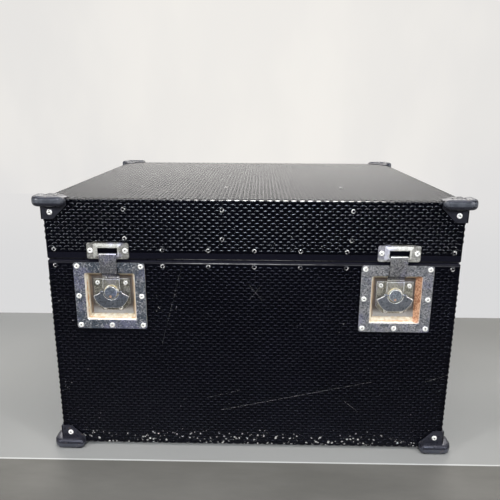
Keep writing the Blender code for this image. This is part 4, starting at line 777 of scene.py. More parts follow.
latch_low = HUB_Z - 0.0595 - base_middle + 0.002
latch_cover = [(side * LATCH_X - 0.0545, side * LATCH_X + 0.0545, latch_low, base_height)
               for side in (-1, 1)]
keeper_cover = [(side * LATCH_X - 0.0312, side * LATCH_X + 0.0312, -lid_height,
                 PARTING + 0.0262 - lid_middle) for side in (-1, 1)]
hinge_cover_base = [(side * HINGE_X - 0.031, side * HINGE_X + 0.031,
                     PARTING - 0.041 - base_middle, base_height) for side in (-1, 1)]
hinge_cover_lid = [(side * HINGE_X - 0.031, side * HINGE_X + 0.031, -lid_height,
                    PARTING + 0.041 - lid_middle) for side in (-1, 1)]
handle_cover = [(-0.077, 0.077, HANDLE_Z - 0.054 - base_middle, HANDLE_Z + 0.054 - base_middle)]


def corner_covers(width, height, foot=True, top=False, both=False):
    """The squares that the corner pieces cover on one face."""
    reach = 0.028
    covers = []
    for low_x, high_x in ((-width / 2, -width / 2 + reach), (width / 2 - reach, width / 2)):
        if foot or both:
            covers.append((low_x, high_x, -height / 2, -height / 2 + reach * 0.75))
        if top or both:
            covers.append((low_x, high_x, height / 2 - reach * 0.75, height / 2))
    return covers


wide, deep = half_width * 2, half_depth * 2
for turn, width, label, base_covers, lid_covers in (
        (FRONT, wide, "front", latch_cover, keeper_cover),
        (BACK, wide, "back", hinge_cover_base, hinge_cover_lid),
        (LEFT, deep, "left", handle_cover, []), (RIGHT, deep, "right", handle_cover, [])):
    emboss(f"base_embossing_{label}", "base", face_matrix(turn, base_middle), width, base_height,
           base_covers + corner_covers(width, base_height))
    emboss(f"lid_embossing_{label}", "lid", face_matrix(turn, lid_middle), width, lid_height,
           lid_covers + corner_covers(width, lid_height, foot=False, top=True))
top_matrix = Matrix.Translation((0, 0, case_high.z))
emboss("lid_embossing_top", "lid", top_matrix, wide, deep, corner_covers(wide, deep, both=True),
       halves=True, tall=1.5)
foot_matrix = Matrix.Translation((0, 0, case_low.z)) @ Matrix.Rotation(math.pi, 4, "X")
emboss("base_embossing_bottom", "base", foot_matrix, wide, deep,
       corner_covers(wide, deep, both=True), halves=True)

# %% [markdown]
# Where the sheet folds over an edge, the pattern goes round with it. A narrower dome is set on
# each fold at half the fold's angle, one to each column along the level edges and one to every
# second row up the standing edges.

# %% Domes on the folds
FOLD_IN = 0.00053
level_dome = add_dome(long=DOME_LONG, short=0.0017, rise=0.0006, root=0.0004)
upright_dome = add_dome(long=0.0017, short=DOME_SHORT, rise=0.0006, root=0.0004)
# The lid's fold domes carry the painted fold highlight on their front crowns.
paint(level_dome, sheet_black, sheet_painted_fold_highlight)
for polygon in level_dome.data.polygons:
    polygon.material_index = int(polygon.center.z > 0.0004 and polygon.center.y < 0.0003)
paint(upright_dome, sheet_black)


def fold_row(pattern, length, pitch, matrix, along):
    """A row of domes, centred on the origin, carried by a matrix."""
    count = int(length / pitch / 2) * 2 + 1
    row = copy_piece(pattern, "fold_row")
    step = Vector((pitch, 0, 0)) if along == "x" else Vector((0, pitch, 0))
    repeat(row, ((count, step),))
    row.data.transform(matrix @ Matrix.Translation(-step * (count // 2)))
    return row


for level, body, height, low, high in (("lid", "lid", case_high.z, LID_FOOT, case_high.z),
                                       ("base", "base", case_low.z, case_low.z, BASE_TOP)):
    lean = math.pi / 4 if level == "lid" else 3 * math.pi / 4
    edge_in = FOLD_IN / math.sqrt(2) * (1 if level == "lid" else -1)
    rows = []
    for turn, width in ((FRONT, wide), (BACK, wide), (LEFT, deep), (RIGHT, deep)):
        place = on_side(turn, 0, height - edge_in, -FOLD_IN / math.sqrt(2))
        rows.append(fold_row(level_dome, width - 0.072, DOME_PITCH,
                             place @ Matrix.Rotation(lean, 4, "X"), "x"))
    middle = (low + high) / 2
    reach = high - low - 0.040
    for turn in (FRONT, BACK, LEFT, RIGHT):
        swing = Matrix.Rotation(turn, 4, "Z")
        corner = Vector((half_width, -half_depth, middle)) if turn in (FRONT, BACK) else Vector(
            (half_depth, -half_width, middle))
        inwards = Vector((-FOLD_IN, FOLD_IN, 0)) / math.sqrt(2)
        face = Matrix.Rotation(math.pi / 4, 4, "Z") @ Matrix.Rotation(math.pi / 2, 4, "X")
        rows.append(fold_row(upright_dome, reach, DOME_ROW * 2,
                             swing @ Matrix.Translation(corner + inwards) @ face, "y"))
    edge_domes = join(f"{level}_embossing_folds", rows)
    edge_domes.data.shade_smooth()
    # The base's folds carry no painted highlight.
    if level == "base":
        for slot in edge_domes.material_slots:
            slot.material = sheet_black.material
    settle(edge_domes, body)

# %% [markdown]
# The rivets are modelled once each, from a disc drawn up into a dome, with a sunk middle, and
# then copied to every place. All of one kind on one body are joined into one piece.

# %% Rivet heads


def add_rivet(radius, height, rings, sides=20):
    """A tube rivet that stands on the origin and faces -Y; rings are (share, height share)."""
    rivet = add_rod("rivet", radius, -0.0003, height * 0.3, sides, axis="y")
    pick(rivet, "FACE", lambda face: face.normal.y < -0.99)
    share_before, part_before = 1.0, 0.3
    for share, part in rings:
        bpy.ops.mesh.extrude_region_move()
        bpy.ops.transform.translate(value=(0, -height * (part - part_before), 0))
        bpy.ops.transform.resize(value=(share / share_before, 1, share / share_before),
                                 center_override=(0, 0, 0))
        share_before, part_before = share, part
    leave()
    return smooth(tidy_normals(rivet), 60)


def paint_inside(rivet, low, high, index):
    """Give the faces between two distances from the rivet's axis another finish."""
    for polygon in rivet.data.polygons:
        if low < math.hypot(polygon.center.x, polygon.center.z) < high:
            if polygon.normal.y < -0.05 or low == 0:
                polygon.material_index = index


HEAD_RINGS = ((0.95, 0.62), (0.84, 0.90), (0.66, 1.0), (0.38, 0.96), (0.27, 0.80), (0.21, 0.55))
big_rivet = add_rivet(0.0043, 0.0016, HEAD_RINGS)
# The middle of the head takes a dark finish as painted shade in the bore.
paint(big_rivet, rivet_bright, rivet_hole_painted_shade)
paint_inside(big_rivet, -1, 0.00115, 1)
small_rivet = copy_piece(big_rivet, "small_rivet", Matrix.Diagonal((0.86, 1.2, 0.86, 1)))
black_rivet = add_rivet(0.0038, 0.0017, ((0.92, 0.66), (0.74, 1.0), (0.50, 0.96), (0.30, 0.5)), 14)
# A broken pale ring round the top of each black rivet is a painted glint.
paint(black_rivet, rivet_black, rivet_ring_painted_glint)
paint_inside(black_rivet, 0.0022, 0.0034, 1)
print("rivet faces:", len(big_rivet.data.polygons), len(black_rivet.data.polygons))

# %% Places of the rivets
SHEET_FACE = 0.0018
PLATE_FACE = -0.0089
CORNER_FACE = 0.0027


def rivet_row(name, pattern, places, body):
    copies = [copy_piece(pattern, f"{name}_{index}", place) for index, place in enumerate(places)]
    settle(join(name, copies), body)


def corner_place(level, side_y, side_x):
    """Carries a corner modelled at the top front left, with the case's corner at the origin."""
    height = case_high.z if level == "lid" else case_low.z
    up = 1 if level == "lid" else -1
    place = Matrix.Translation((side_x * half_width, side_y * half_depth, height))
    return place @ Matrix.Diagonal((-side_x, -side_y, up, 1))




def corner_spots(level):
    """Places of a corner's two plated rivets; the base's stand a little nearer its edge."""
    across, down = (0.0112, 0.0200) if level == "lid" else (0.0127, 0.0192)
    return (Matrix.Translation((across, -CORNER_FACE, -down)),
            Matrix.Translation((-CORNER_FACE, across, -down))
            @ Matrix.Rotation(-math.pi / 2, 4, "Z"))


corner_top = (Matrix.Translation((0.015, 0.015, CORNER_FACE))
              @ Matrix.Rotation(-math.pi / 2, 4, "X"))
corners = [(level, side_y, side_x) for level in ("base", "lid") for side_y in (-1, 1)
           for side_x in (-1, 1)]
for level in ("base", "lid"):
    places = [corner_place(*corner) @ spot for corner in corners if corner[0] == level
              for spot in corner_spots(level)]
    if level == "base":
        for side in (-1, 1):
            for across, up in ((-0.0495, 0.0436), (0.0495, 0.0436), (-0.0495, -0.005),
                               (0.0495, -0.005), (-0.0495, -0.0535), (0, -0.0535),
                               (0.0495, -0.0535)):
                places.append(on_side(FRONT, side * LATCH_X + across, HUB_Z + up, SHEET_FACE))
        for turn in (LEFT, RIGHT):
            for across in (-0.070, 0, 0.070):
                for up in (-0.047, 0.047):
                    places.append(on_side(turn, across, HANDLE_Z + up, SHEET_FACE))
    else:
        for side in (-1, 1):
            for across in (-0.0269, 0.0269):
                places.append(on_side(FRONT, side * LATCH_X + across, PARTING + 0.015, 0.0015))
    rivet_row(f"{level}_plated_rivets", big_rivet, places, level)

hinge_spots = [(across, up) for across in (-0.022, 0.022) for up in (0.032, 0.012)]
for level, sign in (("base", -1), ("lid", 1)):
    places = [on_side(BACK, side * HINGE_X + across, PARTING + sign * up, 0.0021)
              for side in (-1, 1) for across, up in hinge_spots]
    if level == "base":
        for side in (-1, 1):
            for across, up in ((-0.0222, 0.014), (0.0222, 0.014), (-0.012, -0.0275),
                               (0.012, -0.0275)):
                places.append(on_side(FRONT, side * LATCH_X + across, HUB_Z + up, PLATE_FACE))
    rivet_row(f"{level}_small_rivets", small_rivet, places, level)

for level, height in (("base", PARTING - 0.0092), ("lid", PARTING + 0.0164)):
    places = [on_side(FRONT, 0.0023 + step * 0.0706, height) for step in range(-2, 3)]
    places += [on_side(BACK, step * 0.0706, height) for step in range(-1, 2)]
    places += [on_side(turn, across, height) for turn in (FRONT, BACK)
               for across in (-0.3055, 0.3055)]
    places += [on_side(turn, step * 0.125, height) for turn in (LEFT, RIGHT)
               for step in (-1.5, -0.5, 0.5, 1.5)]
    places += [corner_place(*corner) @ corner_top for corner in corners if corner[0] == level]
    if level == "lid":
        lift = Matrix.Rotation(-math.pi / 2, 4, "X")
        for centre in (-0.308 * wide, -0.074 * wide, 0.2355 * wide):
            places += [on_side(FRONT, centre, case_high.z - down) for down in (0.015, 0.060)]
            places.append(Matrix.Translation((centre, -half_depth + 0.1275, case_high.z)) @ lift)
    rivet_row(f"{level}_black_rivets", black_rivet, places, level)

# %% [markdown]
# Each corner is a pressed steel cap: flat flanges on the three faces, and a hollow round bead
# that wraps the edge and stands the case off the floor. The bead is a circle that is extruded,
# spun a quarter turn round the corner and extruded again, with its ends drawn in to domes.

# %% Corner pieces
BEAD_RADIUS = 0.008
BEAD_OUT = 0.0068
BEAD_DROP = 0.0025
BEAD_BEND = 0.0085
BEAD_END = 0.0295
BEAD_SIDE_END = 0.0165


def close_end(bead, along, spot):
    """Draw the loop that is selected into a dome about a place, and close it."""
    before = 0.0
    for degrees in (25, 50, 70, 84):
        step = math.sin(math.radians(degrees)) - math.sin(math.radians(before))
        shrink = math.cos(math.radians(degrees)) / math.cos(math.radians(before))
        bpy.ops.mesh.extrude_region_move()
        bpy.ops.transform.translate(
            value=[BEAD_RADIUS * step if index == along else 0 for index in range(3)])
        bpy.ops.transform.resize(
            value=[1 if index == along else shrink for index in range(3)], center_override=spot)
        before = degrees
    bpy.ops.mesh.edge_face_add()


def add_bead():
    """A round bead from one face of the case, round its corner, to the next."""
    turn_at = Vector((BEAD_BEND - BEAD_OUT, BEAD_BEND - BEAD_OUT, -BEAD_DROP))
    bpy.ops.object.select_all(action="DESELECT")
    bpy.ops.mesh.primitive_circle_add(vertices=24, radius=BEAD_RADIUS, fill_type="NOTHING",
                                      location=(BEAD_END, -BEAD_OUT, -BEAD_DROP),
                                      rotation=(0, math.pi / 2, 0))
    bead = added("bead")
    for vertex in bead.data.vertices:
        across, up = vertex.co.y + BEAD_OUT, vertex.co.z + BEAD_DROP
        square = (abs(across) ** 3.2 + abs(up) ** 3.2) ** (1 / 3.2) / BEAD_RADIUS
        vertex.co.y = min(across / square - BEAD_OUT, turn_at.y - 0.0004)
        vertex.co.z = up / square - BEAD_DROP
    pick(bead, "EDGE", lambda edge: True)
    bpy.ops.mesh.extrude_region_move()
    bpy.ops.transform.translate(value=(turn_at.x - BEAD_END, 0, 0))
    bpy.ops.mesh.spin(steps=8, angle=math.pi / 2, center=turn_at, axis=(0, 0, 1))
    bpy.ops.mesh.extrude_region_move()
    bpy.ops.transform.translate(value=(0, BEAD_SIDE_END - turn_at.y, 0))
    close_end(bead, 1, (-BEAD_OUT, BEAD_SIDE_END, -BEAD_DROP))
    leave()
    pick(bead, "EDGE", lambda edge: edge.is_boundary)
    close_end(bead, 0, (BEAD_END, -BEAD_OUT, -BEAD_DROP))
    leave()
    return tidy_normals(bead)


def add_flange(name):
    """One flange in the XZ plane facing -Y: a plate with its free corner cut off."""
    flange = add_block(name, (-CORNER_FACE, -CORNER_FACE, -0.031), (0.037, -SKIN_GAP, CORNER_FACE))
    only(flange)
    bpy.ops.object.mode_set(mode="EDIT")
    bpy.ops.mesh.select_all(action="SELECT")
    bpy.ops.mesh.bisect(plane_co=(0.037, 0, -0.0095), plane_no=(0.699, 0, -0.715),
                        use_fill=True, clear_outer=True)
    leave()
    return flange


front_flange = add_flange("front_flange")
side_flange = copy_piece(front_flange, "side_flange", Matrix(
    ((0, 1, 0, 0), (1, 0, 0, 0), (0, 0, 1, 0), (0, 0, 0, 1))))
top_flange = add_block("top_flange", (-CORNER_FACE, -CORNER_FACE, SKIN_GAP),
                       (0.037, 0.037, CORNER_FACE))
only(top_flange)
bpy.ops.object.mode_set(mode="EDIT")
bpy.ops.mesh.select_all(action="SELECT")
bpy.ops.mesh.bisect(plane_co=(0.037, 0.0095, 0), plane_no=(0.707, 0.707, 0), use_fill=True,
                    clear_outer=True)
leave()
bead = add_bead()
void = add_block("void", (-SKIN_GAP, -SKIN_GAP, -0.06), (0.06, 0.06, SKIN_GAP))
carve(bead, void)
print("bead reaches", [round(min(vertex.co[i] for vertex in bead.data.vertices), 4)
                       for i in range(3)])
# The bead is painted by which way each face looks, as painted light and shade: a lighter band on its
# front, black on the slope above it and on its lower part, the bead finish on top.
paint(bead, corner_bead, corner_black, corner_painted_highlight_band)
for polygon in bead.data.polygons:
    if polygon.center.z < -0.0048 or 0.45 < polygon.normal.z < 0.80:
        polygon.material_index = 1
    elif polygon.normal.z < 0.45:
        polygon.material_index = 2
for part in (front_flange, side_flange, top_flange):
    soften(part, 0.0005)
    paint(part, corner_black)
corner_cap = join("corner_cap", [bead, front_flange, side_flange, top_flange])
smooth(corner_cap, 38)
for level, side_y, side_x in corners:
    place_name = f"{'front' if side_y < 0 else 'back'}_{'left' if side_x < 0 else 'right'}"
    cap = copy_piece(corner_cap, f"{level}_cap_{place_name}", corner_place(level, side_y, side_x))
    # On the base's mirrored caps the front band takes the bead finish instead.
    if level == "base":
        cap.material_slots[2].material = corner_bead.material
    settle(cap, level, (f"{level}_corner_{place_name}",))
drop(corner_cap)

# %% [markdown]
# The latch dish is pressed from one sheet: a flat flange, leaning walls and a flat floor. It
# starts as a plate, whose face is inset to the mouth and extruded down to the floor with its
# sides drawn in. The bends are bevelled round, and Solidify gives the sheet its thickness. The
# strap passes through a notch in the upper wall.

# %% A pressing, step by step
HALF_FLANGE = 0.0555
FLANGE_TOP, FLANGE_FOOT = 0.0496, -0.0595
HALF_MOUTH = 0.0395
MOUTH_TOP, MOUTH_FOOT = 0.0327, -0.0451
WALL_LEAN = 0.007
DISH_FLOOR = -0.0104
DISH_SHEET = 0.0012


def rounded(route, radius, steps=4):
    """A bent line in two dimensions, with each inner corner turned into a short arc."""
    line = [Vector(route[0])]
    for before, corner, after in zip(route, route[1:], route[2:]):
        corner = Vector(corner)
        back = (Vector(before) - corner).normalized()
        ahead = (Vector(after) - corner).normalized()
        half = back.angle(ahead) / 2
        centre = corner + (back + ahead).normalized() * radius / math.sin(half)
        first = corner + back * radius / math.tan(half) - centre
        last = corner + ahead * radius / math.tan(half) - centre
        for step in range(steps + 1):
            line.append(centre + first.lerp(last, step / steps).normalized() * radius)
    line.append(Vector(route[-1]))
    return line


def press(piece, box, stages):
    """Draw the face that is selected through stages of (half width, foot, top, out)."""
    border = 0.0006
    bpy.ops.mesh.inset(thickness=border)
    half, foot, top, out = box[0] - border, box[1] + border, box[2] - border, box[3]
    for new_half, new_foot, new_top, new_out in stages:
        middle, new_middle = (foot + top) / 2, (new_foot + new_top) / 2
        bpy.ops.mesh.extrude_region_move()
        bpy.ops.transform.translate(value=(0, out - new_out, new_middle - middle))
        bpy.ops.transform.resize(value=(new_half / half, 1, (new_top - new_foot) / (top - foot)),
                                 center_override=(0, -new_out, new_middle))
        half, foot, top, out = new_half, new_foot, new_top, new_out


def add_dish(name, flange, mouth, lean, floor, corner=0.0045, bend=0.0022):
    """A pressed dish facing -Y; flange and mouth are (half width, foot, top)."""
    dish = add_plate(name, -flange[0], flange[0], flange[1], flange[2], SHEET_FACE)
    pick(dish, "VERT", lambda vertex: True)
    bpy.ops.mesh.bevel(offset=corner, segments=6, affect="VERTICES")
    leave()
    pick(dish, "FACE", lambda face: True)
    profile = rounded(((-0.003, SHEET_FACE), (0, SHEET_FACE), (lean, floor),
                       (lean + 0.005, floor)), bend)
    press(dish, (*flange, SHEET_FACE),
          [(mouth[0] - inset, mouth[1] + inset, mouth[2] - inset, out) for inset, out in profile])
    leave()
    return dish


def dish_faces(dish, floor):
    """Walls get the rusted finish and the floor its own, by how each face leans and lies."""
    for polygon in dish.data.polygons:
        if abs(polygon.normal.y) < 0.93 and -SHEET_FACE + 0.0006 < polygon.center.y < -floor:
            polygon.material_index = 1
        elif polygon.center.y > -floor - 0.0008:
            polygon.material_index = 2


# %% Latch dish
NOTCH_HALF = 0.0142
NOTCH_TOP = 0.0406
dish = add_dish("latch_dish", (HALF_FLANGE, FLANGE_FOOT, FLANGE_TOP),
                (HALF_MOUTH, MOUTH_FOOT, MOUTH_TOP), WALL_LEAN, DISH_FLOOR)
thicken(dish, DISH_SHEET)
notch = add_block("notch", (-NOTCH_HALF, -0.004, MOUTH_TOP - WALL_LEAN - DISH_SHEET),
                  (NOTCH_HALF, 0.0090, NOTCH_TOP))
carve(dish, notch)
bore = add_rod("bore", 0.0043, DISH_FLOOR - 0.004, DISH_FLOOR + 0.002, 24, axis="y")
carve(dish, bore)
paint(dish, zinc, rusty, floor_plate)
dish_faces(dish, DISH_FLOOR)
smooth(dish, 35)
for prefix, side in (("left", -1), ("right", 1)):
    twin = copy_piece(dish, f"{prefix}_dish_pressing", on_side(FRONT, side * LATCH_X, HUB_Z))
    settle(twin, "base", (f"{prefix}_latch_dish",))
drop(dish)

# %% [markdown]
# The base plate of the mechanism is a flat pressing with two cut corners, screwed to the dish's
# floor. A thin block is bevelled at its lower corners and inset for a low raised border.

# %% Base plate
plate = add_block("latch_plate", (-0.0285, 0.0089, -0.032), (0.0285, 0.0101, 0.0205))
pick(plate, "EDGE", lambda edge: abs(edge.verts[0].co.y - edge.verts[1].co.y) > 0.001
     and middle_of(edge).z < -0.03)
bpy.ops.mesh.bevel(offset=0.012, segments=1, affect="EDGES")
leave()
pick(plate, "FACE", lambda face: face.normal.y < -0.9)
bpy.ops.mesh.inset(thickness=0.002)
bpy.ops.mesh.inset(thickness=0.0008, depth=-0.0003)
leave()
# The plate's rounded edges take the pale edge finish as a painted highlight.
paint(plate, plate_zinc, edge_painted_highlight)
soften(plate, 0.0004, worn=1)
bore = add_rod("bore", 0.0043, -0.012, -0.007, 24, axis="y")
carve(plate, bore)
smooth(plate, 35)
for prefix, side in (("left", -1), ("right", 1)):
    twin = copy_piece(plate, f"{prefix}_base_plate", on_side(FRONT, side * LATCH_X, HUB_Z))
    settle(twin, "base", (f"{prefix}_latch_plate",))
drop(plate)

# %% [markdown]
# The hub is turned from bar: a face disc with a rounded edge and a worn brass-coloured skirt, an
# eccentric cam behind it and a spindle. The disc is a cylinder whose front rim is bevelled round,
# with a small dimple sunk in its face.

# %% Hub
hub = add_rod("latch_hub", 0.0100, -0.0060, 0.0003, 48, axis="y")
paint(hub, hub_steel, edge_painted_highlight, hub_rust)
pick(hub, "EDGE", lambda edge: is_convex_rim(edge) and middle_of(edge).y < 0.001)
# The disc's rounded front rim takes the pale edge finish as a painted highlight.
bpy.ops.mesh.bevel(offset=0.0007, segments=3, affect="EDGES", material=1)
leave()
skirt = add_rod("skirt", 0.0114, -0.0065, -0.0034, 48, axis="y")
soften(skirt, 0.0005)
paint(skirt, hub_brass)
cam = add_rod("cam", 0.0074, -0.0086, -0.0062, 32, place=(0, -0.00275), axis="y")
spindle = add_rod("spindle", 0.0040, -0.0124, -0.0062, 24, axis="y")
dimple = add_rod("dimple", 0.0021, -0.0006, 0.002, 16, place=(-0.0006, -0.0062), axis="y")
paint(dimple, hub_rust)
carve(hub, dimple)
for part in (cam, spindle):
    paint(part, hub_steel)
hub = join("latch_hub", [hub, skirt, cam, spindle])
smooth(hub, 40)
for prefix, side in (("left", -1), ("right", 1)):
    twin = copy_piece(hub, f"{prefix}_hub_turning", on_side(FRONT, side * LATCH_X, HUB_Z))
    settle(twin, f"{prefix}_hub", (f"{prefix}_latch_hub",))
drop(hub)

# %% [markdown]
# The wing is the folding butterfly handle: a cast plate round the hub, with an ear boss each
# side where its pin passes. It starts as a disc of the wing's radius, whose top is cut away
# along two slopes; the eye is bored and the rims are rounded.

# %% Wing
wing = add_rod("latch_wing", 0.0287, -0.0042, -0.0012, 72, axis="y")
only(wing)
bpy.ops.object.mode_set(mode="EDIT")
for spot, normal in (((0, 0, 0.0012), (0, 0, 1)), ((0.0139, 0, 0.0008), (0.46, 0, 0.888)),
                     ((-0.0139, 0, 0.0008), (-0.46, 0, 0.888)), ((0, 0, -0.0262), (0, 0, -1))):
    bpy.ops.mesh.select_all(action="SELECT")
    bpy.ops.mesh.bisect(plane_co=spot, plane_no=normal, use_fill=True, clear_outer=True)
leave()
tidy_normals(wing)
paint(wing, wing_zinc, edge_painted_highlight)
eye = add_rod("eye", 0.0122, -0.006, 0.001, 48, axis="y")
carve(wing, eye)
# The wing's rounded rims take the pale edge finish as a painted highlight.
soften(wing, 0.0008, 3, worn=1)
ears = []
for sign in (-1, 1):
    low, high = sorted((sign * 0.0123, sign * 0.0172))
    ear = add_rod("ear", 0.0023, low, high, 24, place=(-0.0027, 0))
    paint(ear, wing_zinc, edge_painted_highlight)
    ears.append(soften(ear, 0.0003, worn=1))
wing = join("latch_wing", [wing, *ears])
smooth(wing, 40)
for prefix, side in (("left", -1), ("right", 1)):
    twin = copy_piece(wing, f"{prefix}_wing_casting", on_side(FRONT, side * LATCH_X, HUB_Z))
    settle(twin, f"{prefix}_wing", (f"{prefix}_latch_wing",))
drop(wing)

# %% [markdown]
# The yoke is the slotted frame that the cam drives, with a folded lip round its head and two
# rolled knuckles for the strap's pin. A block with rounded corners is cut out of the plate for its
# slot.

# %% Yoke
KNUCKLE_Z = 0.023
KNUCKLE_OUT = -0.0067
yoke = add_block("latch_yoke", (-0.0136, 0.0068, -0.01485), (0.0136, 0.0086, 0.0206))
paint(yoke, yoke_zinc, edge_painted_highlight)
slot_tool = add_block("slot", (-0.01075, 0.005, -0.01105), (0.01075, 0.010, 0.00555))
soften(slot_tool, 0.0015, 3)
carve(yoke, slot_tool)
# The yoke's rounded edges, lip and knuckles take the pale edge finish as a painted highlight.
soften(yoke, 0.0004, worn=1)
rail = add_block("rail", (-0.0137, 0.0056, 0.0041), (0.0137, 0.0074, 0.0207))
rail_tool = add_block("rail_tool", (-0.0124, 0.004, 0.000), (0.0124, 0.0078, 0.0194))
carve(rail, rail_tool)
paint(rail, yoke_zinc, edge_painted_highlight)
soften(rail, 0.0008, worn=1)
parts = [yoke, rail]
for sign in (-1, 1):
    low, high = sorted((sign * 0.0064, sign * 0.0132))
    parts.append(add_rod("knuckle", 0.0019, low, high, 24, place=(KNUCKLE_OUT, KNUCKLE_Z)))
    parts.append(add_block("web", (low + 0.0001, 0.0070, 0.0200),
                           (high - 0.0001, 0.0084, KNUCKLE_Z)))
for part in parts[2:]:
    paint(part, yoke_zinc, edge_painted_highlight)
    soften(part, 0.0003, worn=1)
yoke = join("latch_yoke", parts)
smooth(yoke, 40)
for prefix, side in (("left", -1), ("right", 1)):
    twin = copy_piece(yoke, f"{prefix}_yoke_frame", on_side(FRONT, side * LATCH_X, HUB_Z))
    settle(twin, f"{prefix}_yoke", (f"{prefix}_latch_yoke",))
drop(yoke)

# %% [markdown]
# The strap is bent from flat bar: a leaf deep in the dish, a step out to the flange's face, and a
# hook that turns back into the keeper's window. A row of extrusions of one edge follows the
# bends, Solidify gives the bar its thickness, and the bends and edges are rounded.

# %% Strap
HALF_STRAP = 0.0132
STRAP_ROUTE = ((0.0253, -0.0065), (0.0315, -0.0065), (0.0326, 0.0053), (0.0643, 0.0053),
               (0.0643, 0.0012))
route = rounded(STRAP_ROUTE, 0.0014)
bpy.ops.object.select_all(action="DESELECT")
bpy.ops.mesh.primitive_plane_add(size=1, location=(0, 0.0065, 0.0256), rotation=(math.pi / 2, 0, 0))
bpy.context.object.scale = (HALF_STRAP * 2, 0.0006, 1)
strap = added("latch_strap")
pick(strap, "EDGE", lambda edge: middle_of(edge).z > 0.0258)
here = Vector((0.0259, -0.0065))
for up, out in route[1:]:
    bpy.ops.mesh.extrude_region_move()
    bpy.ops.transform.translate(value=(0, here[1] - out, up - here[0]))
    here = Vector((up, out))
leave()
tidy_normals(strap)
thicken(strap, 0.0018, -1.0)
paint(strap, strap_zinc, edge_painted_highlight)
# The strap's rounded edges take the pale edge finish as a painted highlight.
soften(strap, 0.0008, 2, 50, worn=1)
# Painted highlight: the hook's upper faces take the pale edge finish.
for polygon in strap.data.polygons:
    if polygon.center.z > 0.0632 and polygon.normal.z > 0.2:
        polygon.material_index = 1
knuckle = add_rod("knuckle", 0.0019, -0.006, 0.006, 24, place=(KNUCKLE_OUT, KNUCKLE_Z))
neck = add_block("neck", (-0.0058, 0.0067, KNUCKLE_Z), (0.0058, 0.0082, 0.0262))
for part in (knuckle, neck):
    paint(part, yoke_zinc)
strap = join("latch_strap", [strap, knuckle, neck])
smooth(strap, 40)
for prefix, side in (("left", -1), ("right", 1)):
    twin = copy_piece(strap, f"{prefix}_strap", on_side(FRONT, side * LATCH_X, HUB_Z))
    # Only the outer edge of each strap keeps the painted highlight; the inner edge goes back to the
    # strap's own finish.
    for polygon in twin.data.polygons:
        if polygon.normal.x * side < -0.3 and polygon.normal.z < 0.2:
            polygon.material_index = 0
    settle(twin, f"{prefix}_hasp", (f"{prefix}_latch_hasp",))
drop(strap)

# %% [markdown]
# The keeper is a small pressing with a boxed boss round its window. The boss's face and its top
# and left slopes take a paler finish as painted light, and its right and lower slopes keep the
# plate's darker finish as painted shade. The plate is inset and raised with leaning sides, inset
# again to the window and the window's face deleted.

# %% Keeper
KEEPER_FACE = 0.0015
BOSS_FACE = 0.0034
keeper = add_plate("keeper", -0.03225, 0.03225, 0.0020, 0.0272, KEEPER_FACE)
pick(keeper, "VERT", lambda vertex: True)
bpy.ops.mesh.bevel(offset=0.003, segments=6, affect="VERTICES")
leave()
pick(keeper, "FACE", lambda face: True)
boss = rounded(((-0.001, KEEPER_FACE), (0, KEEPER_FACE), (0.0044, BOSS_FACE),
                (0.0056, BOSS_FACE)), 0.0012, 3)
press(keeper, (0.03225, 0.0020, 0.0272, KEEPER_FACE),
      [(0.0222 - inset, 0.0034 + inset * 0.7, 0.0262 - inset, out) for inset, out in boss]
      + [(0.0153, 0.0082, 0.0198, BOSS_FACE)])
bpy.ops.mesh.delete(type="FACE")
leave()
thicken(keeper, 0.0012)
paint(keeper, keeper_zinc, keeper_painted_light)
# Painted light and shade: the boss's face, top and left slopes take the paler finish.
for polygon in keeper.data.polygons:
    if polygon.normal.y < -0.3 and abs(polygon.center.x) < 0.0225 and (
            polygon.normal.z > 0.15 or polygon.normal.x < -0.15 or polygon.center.y < -0.0031):
        polygon.material_index = 1
smooth(keeper, 40)
for prefix, side in (("left", -1), ("right", 1)):
    twin = copy_piece(keeper, f"{prefix}_keeper_pressing", on_side(FRONT, side * LATCH_X, PARTING))
    settle(twin, "lid", (f"{prefix}_keeper",))
drop(keeper)

# %% [markdown]
# The handle on each end is a steel bail in a dish of its own, with a ribbed rubber sleeve. The
# dish is made as the latch's is, and the bail is a curve given a round section, because it is one
# bent rod.

# %% Handle dish
HANDLE_FLOOR = -0.0165
PIVOT_Z = 0.030
PIVOT_OUT = -0.006
handle_dish = add_dish("handle_dish", (0.078, -0.055, 0.055), (0.062, -0.040, 0.040), 0.004,
                       HANDLE_FLOOR)
thicken(handle_dish, 0.0012)
ears = []
for sign in (-1, 1):
    low, high = sorted((sign * 0.0552, sign * 0.0582))
    ear = add_block("ear", (low, 0.0002, PIVOT_Z - 0.007), (high, 0.0172, PIVOT_Z + 0.007))
    pick(ear, "EDGE", lambda edge: abs(edge.verts[0].co.x - edge.verts[1].co.x) > 0.002
         and middle_of(edge).y < 0.001)
    bpy.ops.mesh.bevel(offset=0.0055, segments=6, affect="EDGES")
    leave()
    hole = add_rod("hole", 0.0043, sign * 0.054, sign * 0.0590, 24, place=(PIVOT_OUT, PIVOT_Z))
    carve(ear, hole)
    ears.append(ear)
handle_dish = join("handle_dish", [handle_dish, *ears])
paint(handle_dish, zinc, zinc, floor_plate)
dish_faces(handle_dish, HANDLE_FLOOR)
smooth(handle_dish, 35)

# %% Bail and grip
BAIL_RADIUS = 0.004
BAIL_DROP = 0.046
GRIP_RADIUS = 0.009
bpy.ops.object.select_all(action="DESELECT")
bpy.ops.mesh.primitive_circle_add(vertices=20, radius=BAIL_RADIUS, fill_type="NGON",
                                  location=(-0.0584, -PIVOT_OUT, PIVOT_Z),
                                  rotation=(0, math.pi / 2, 0))
bail = added("bail")


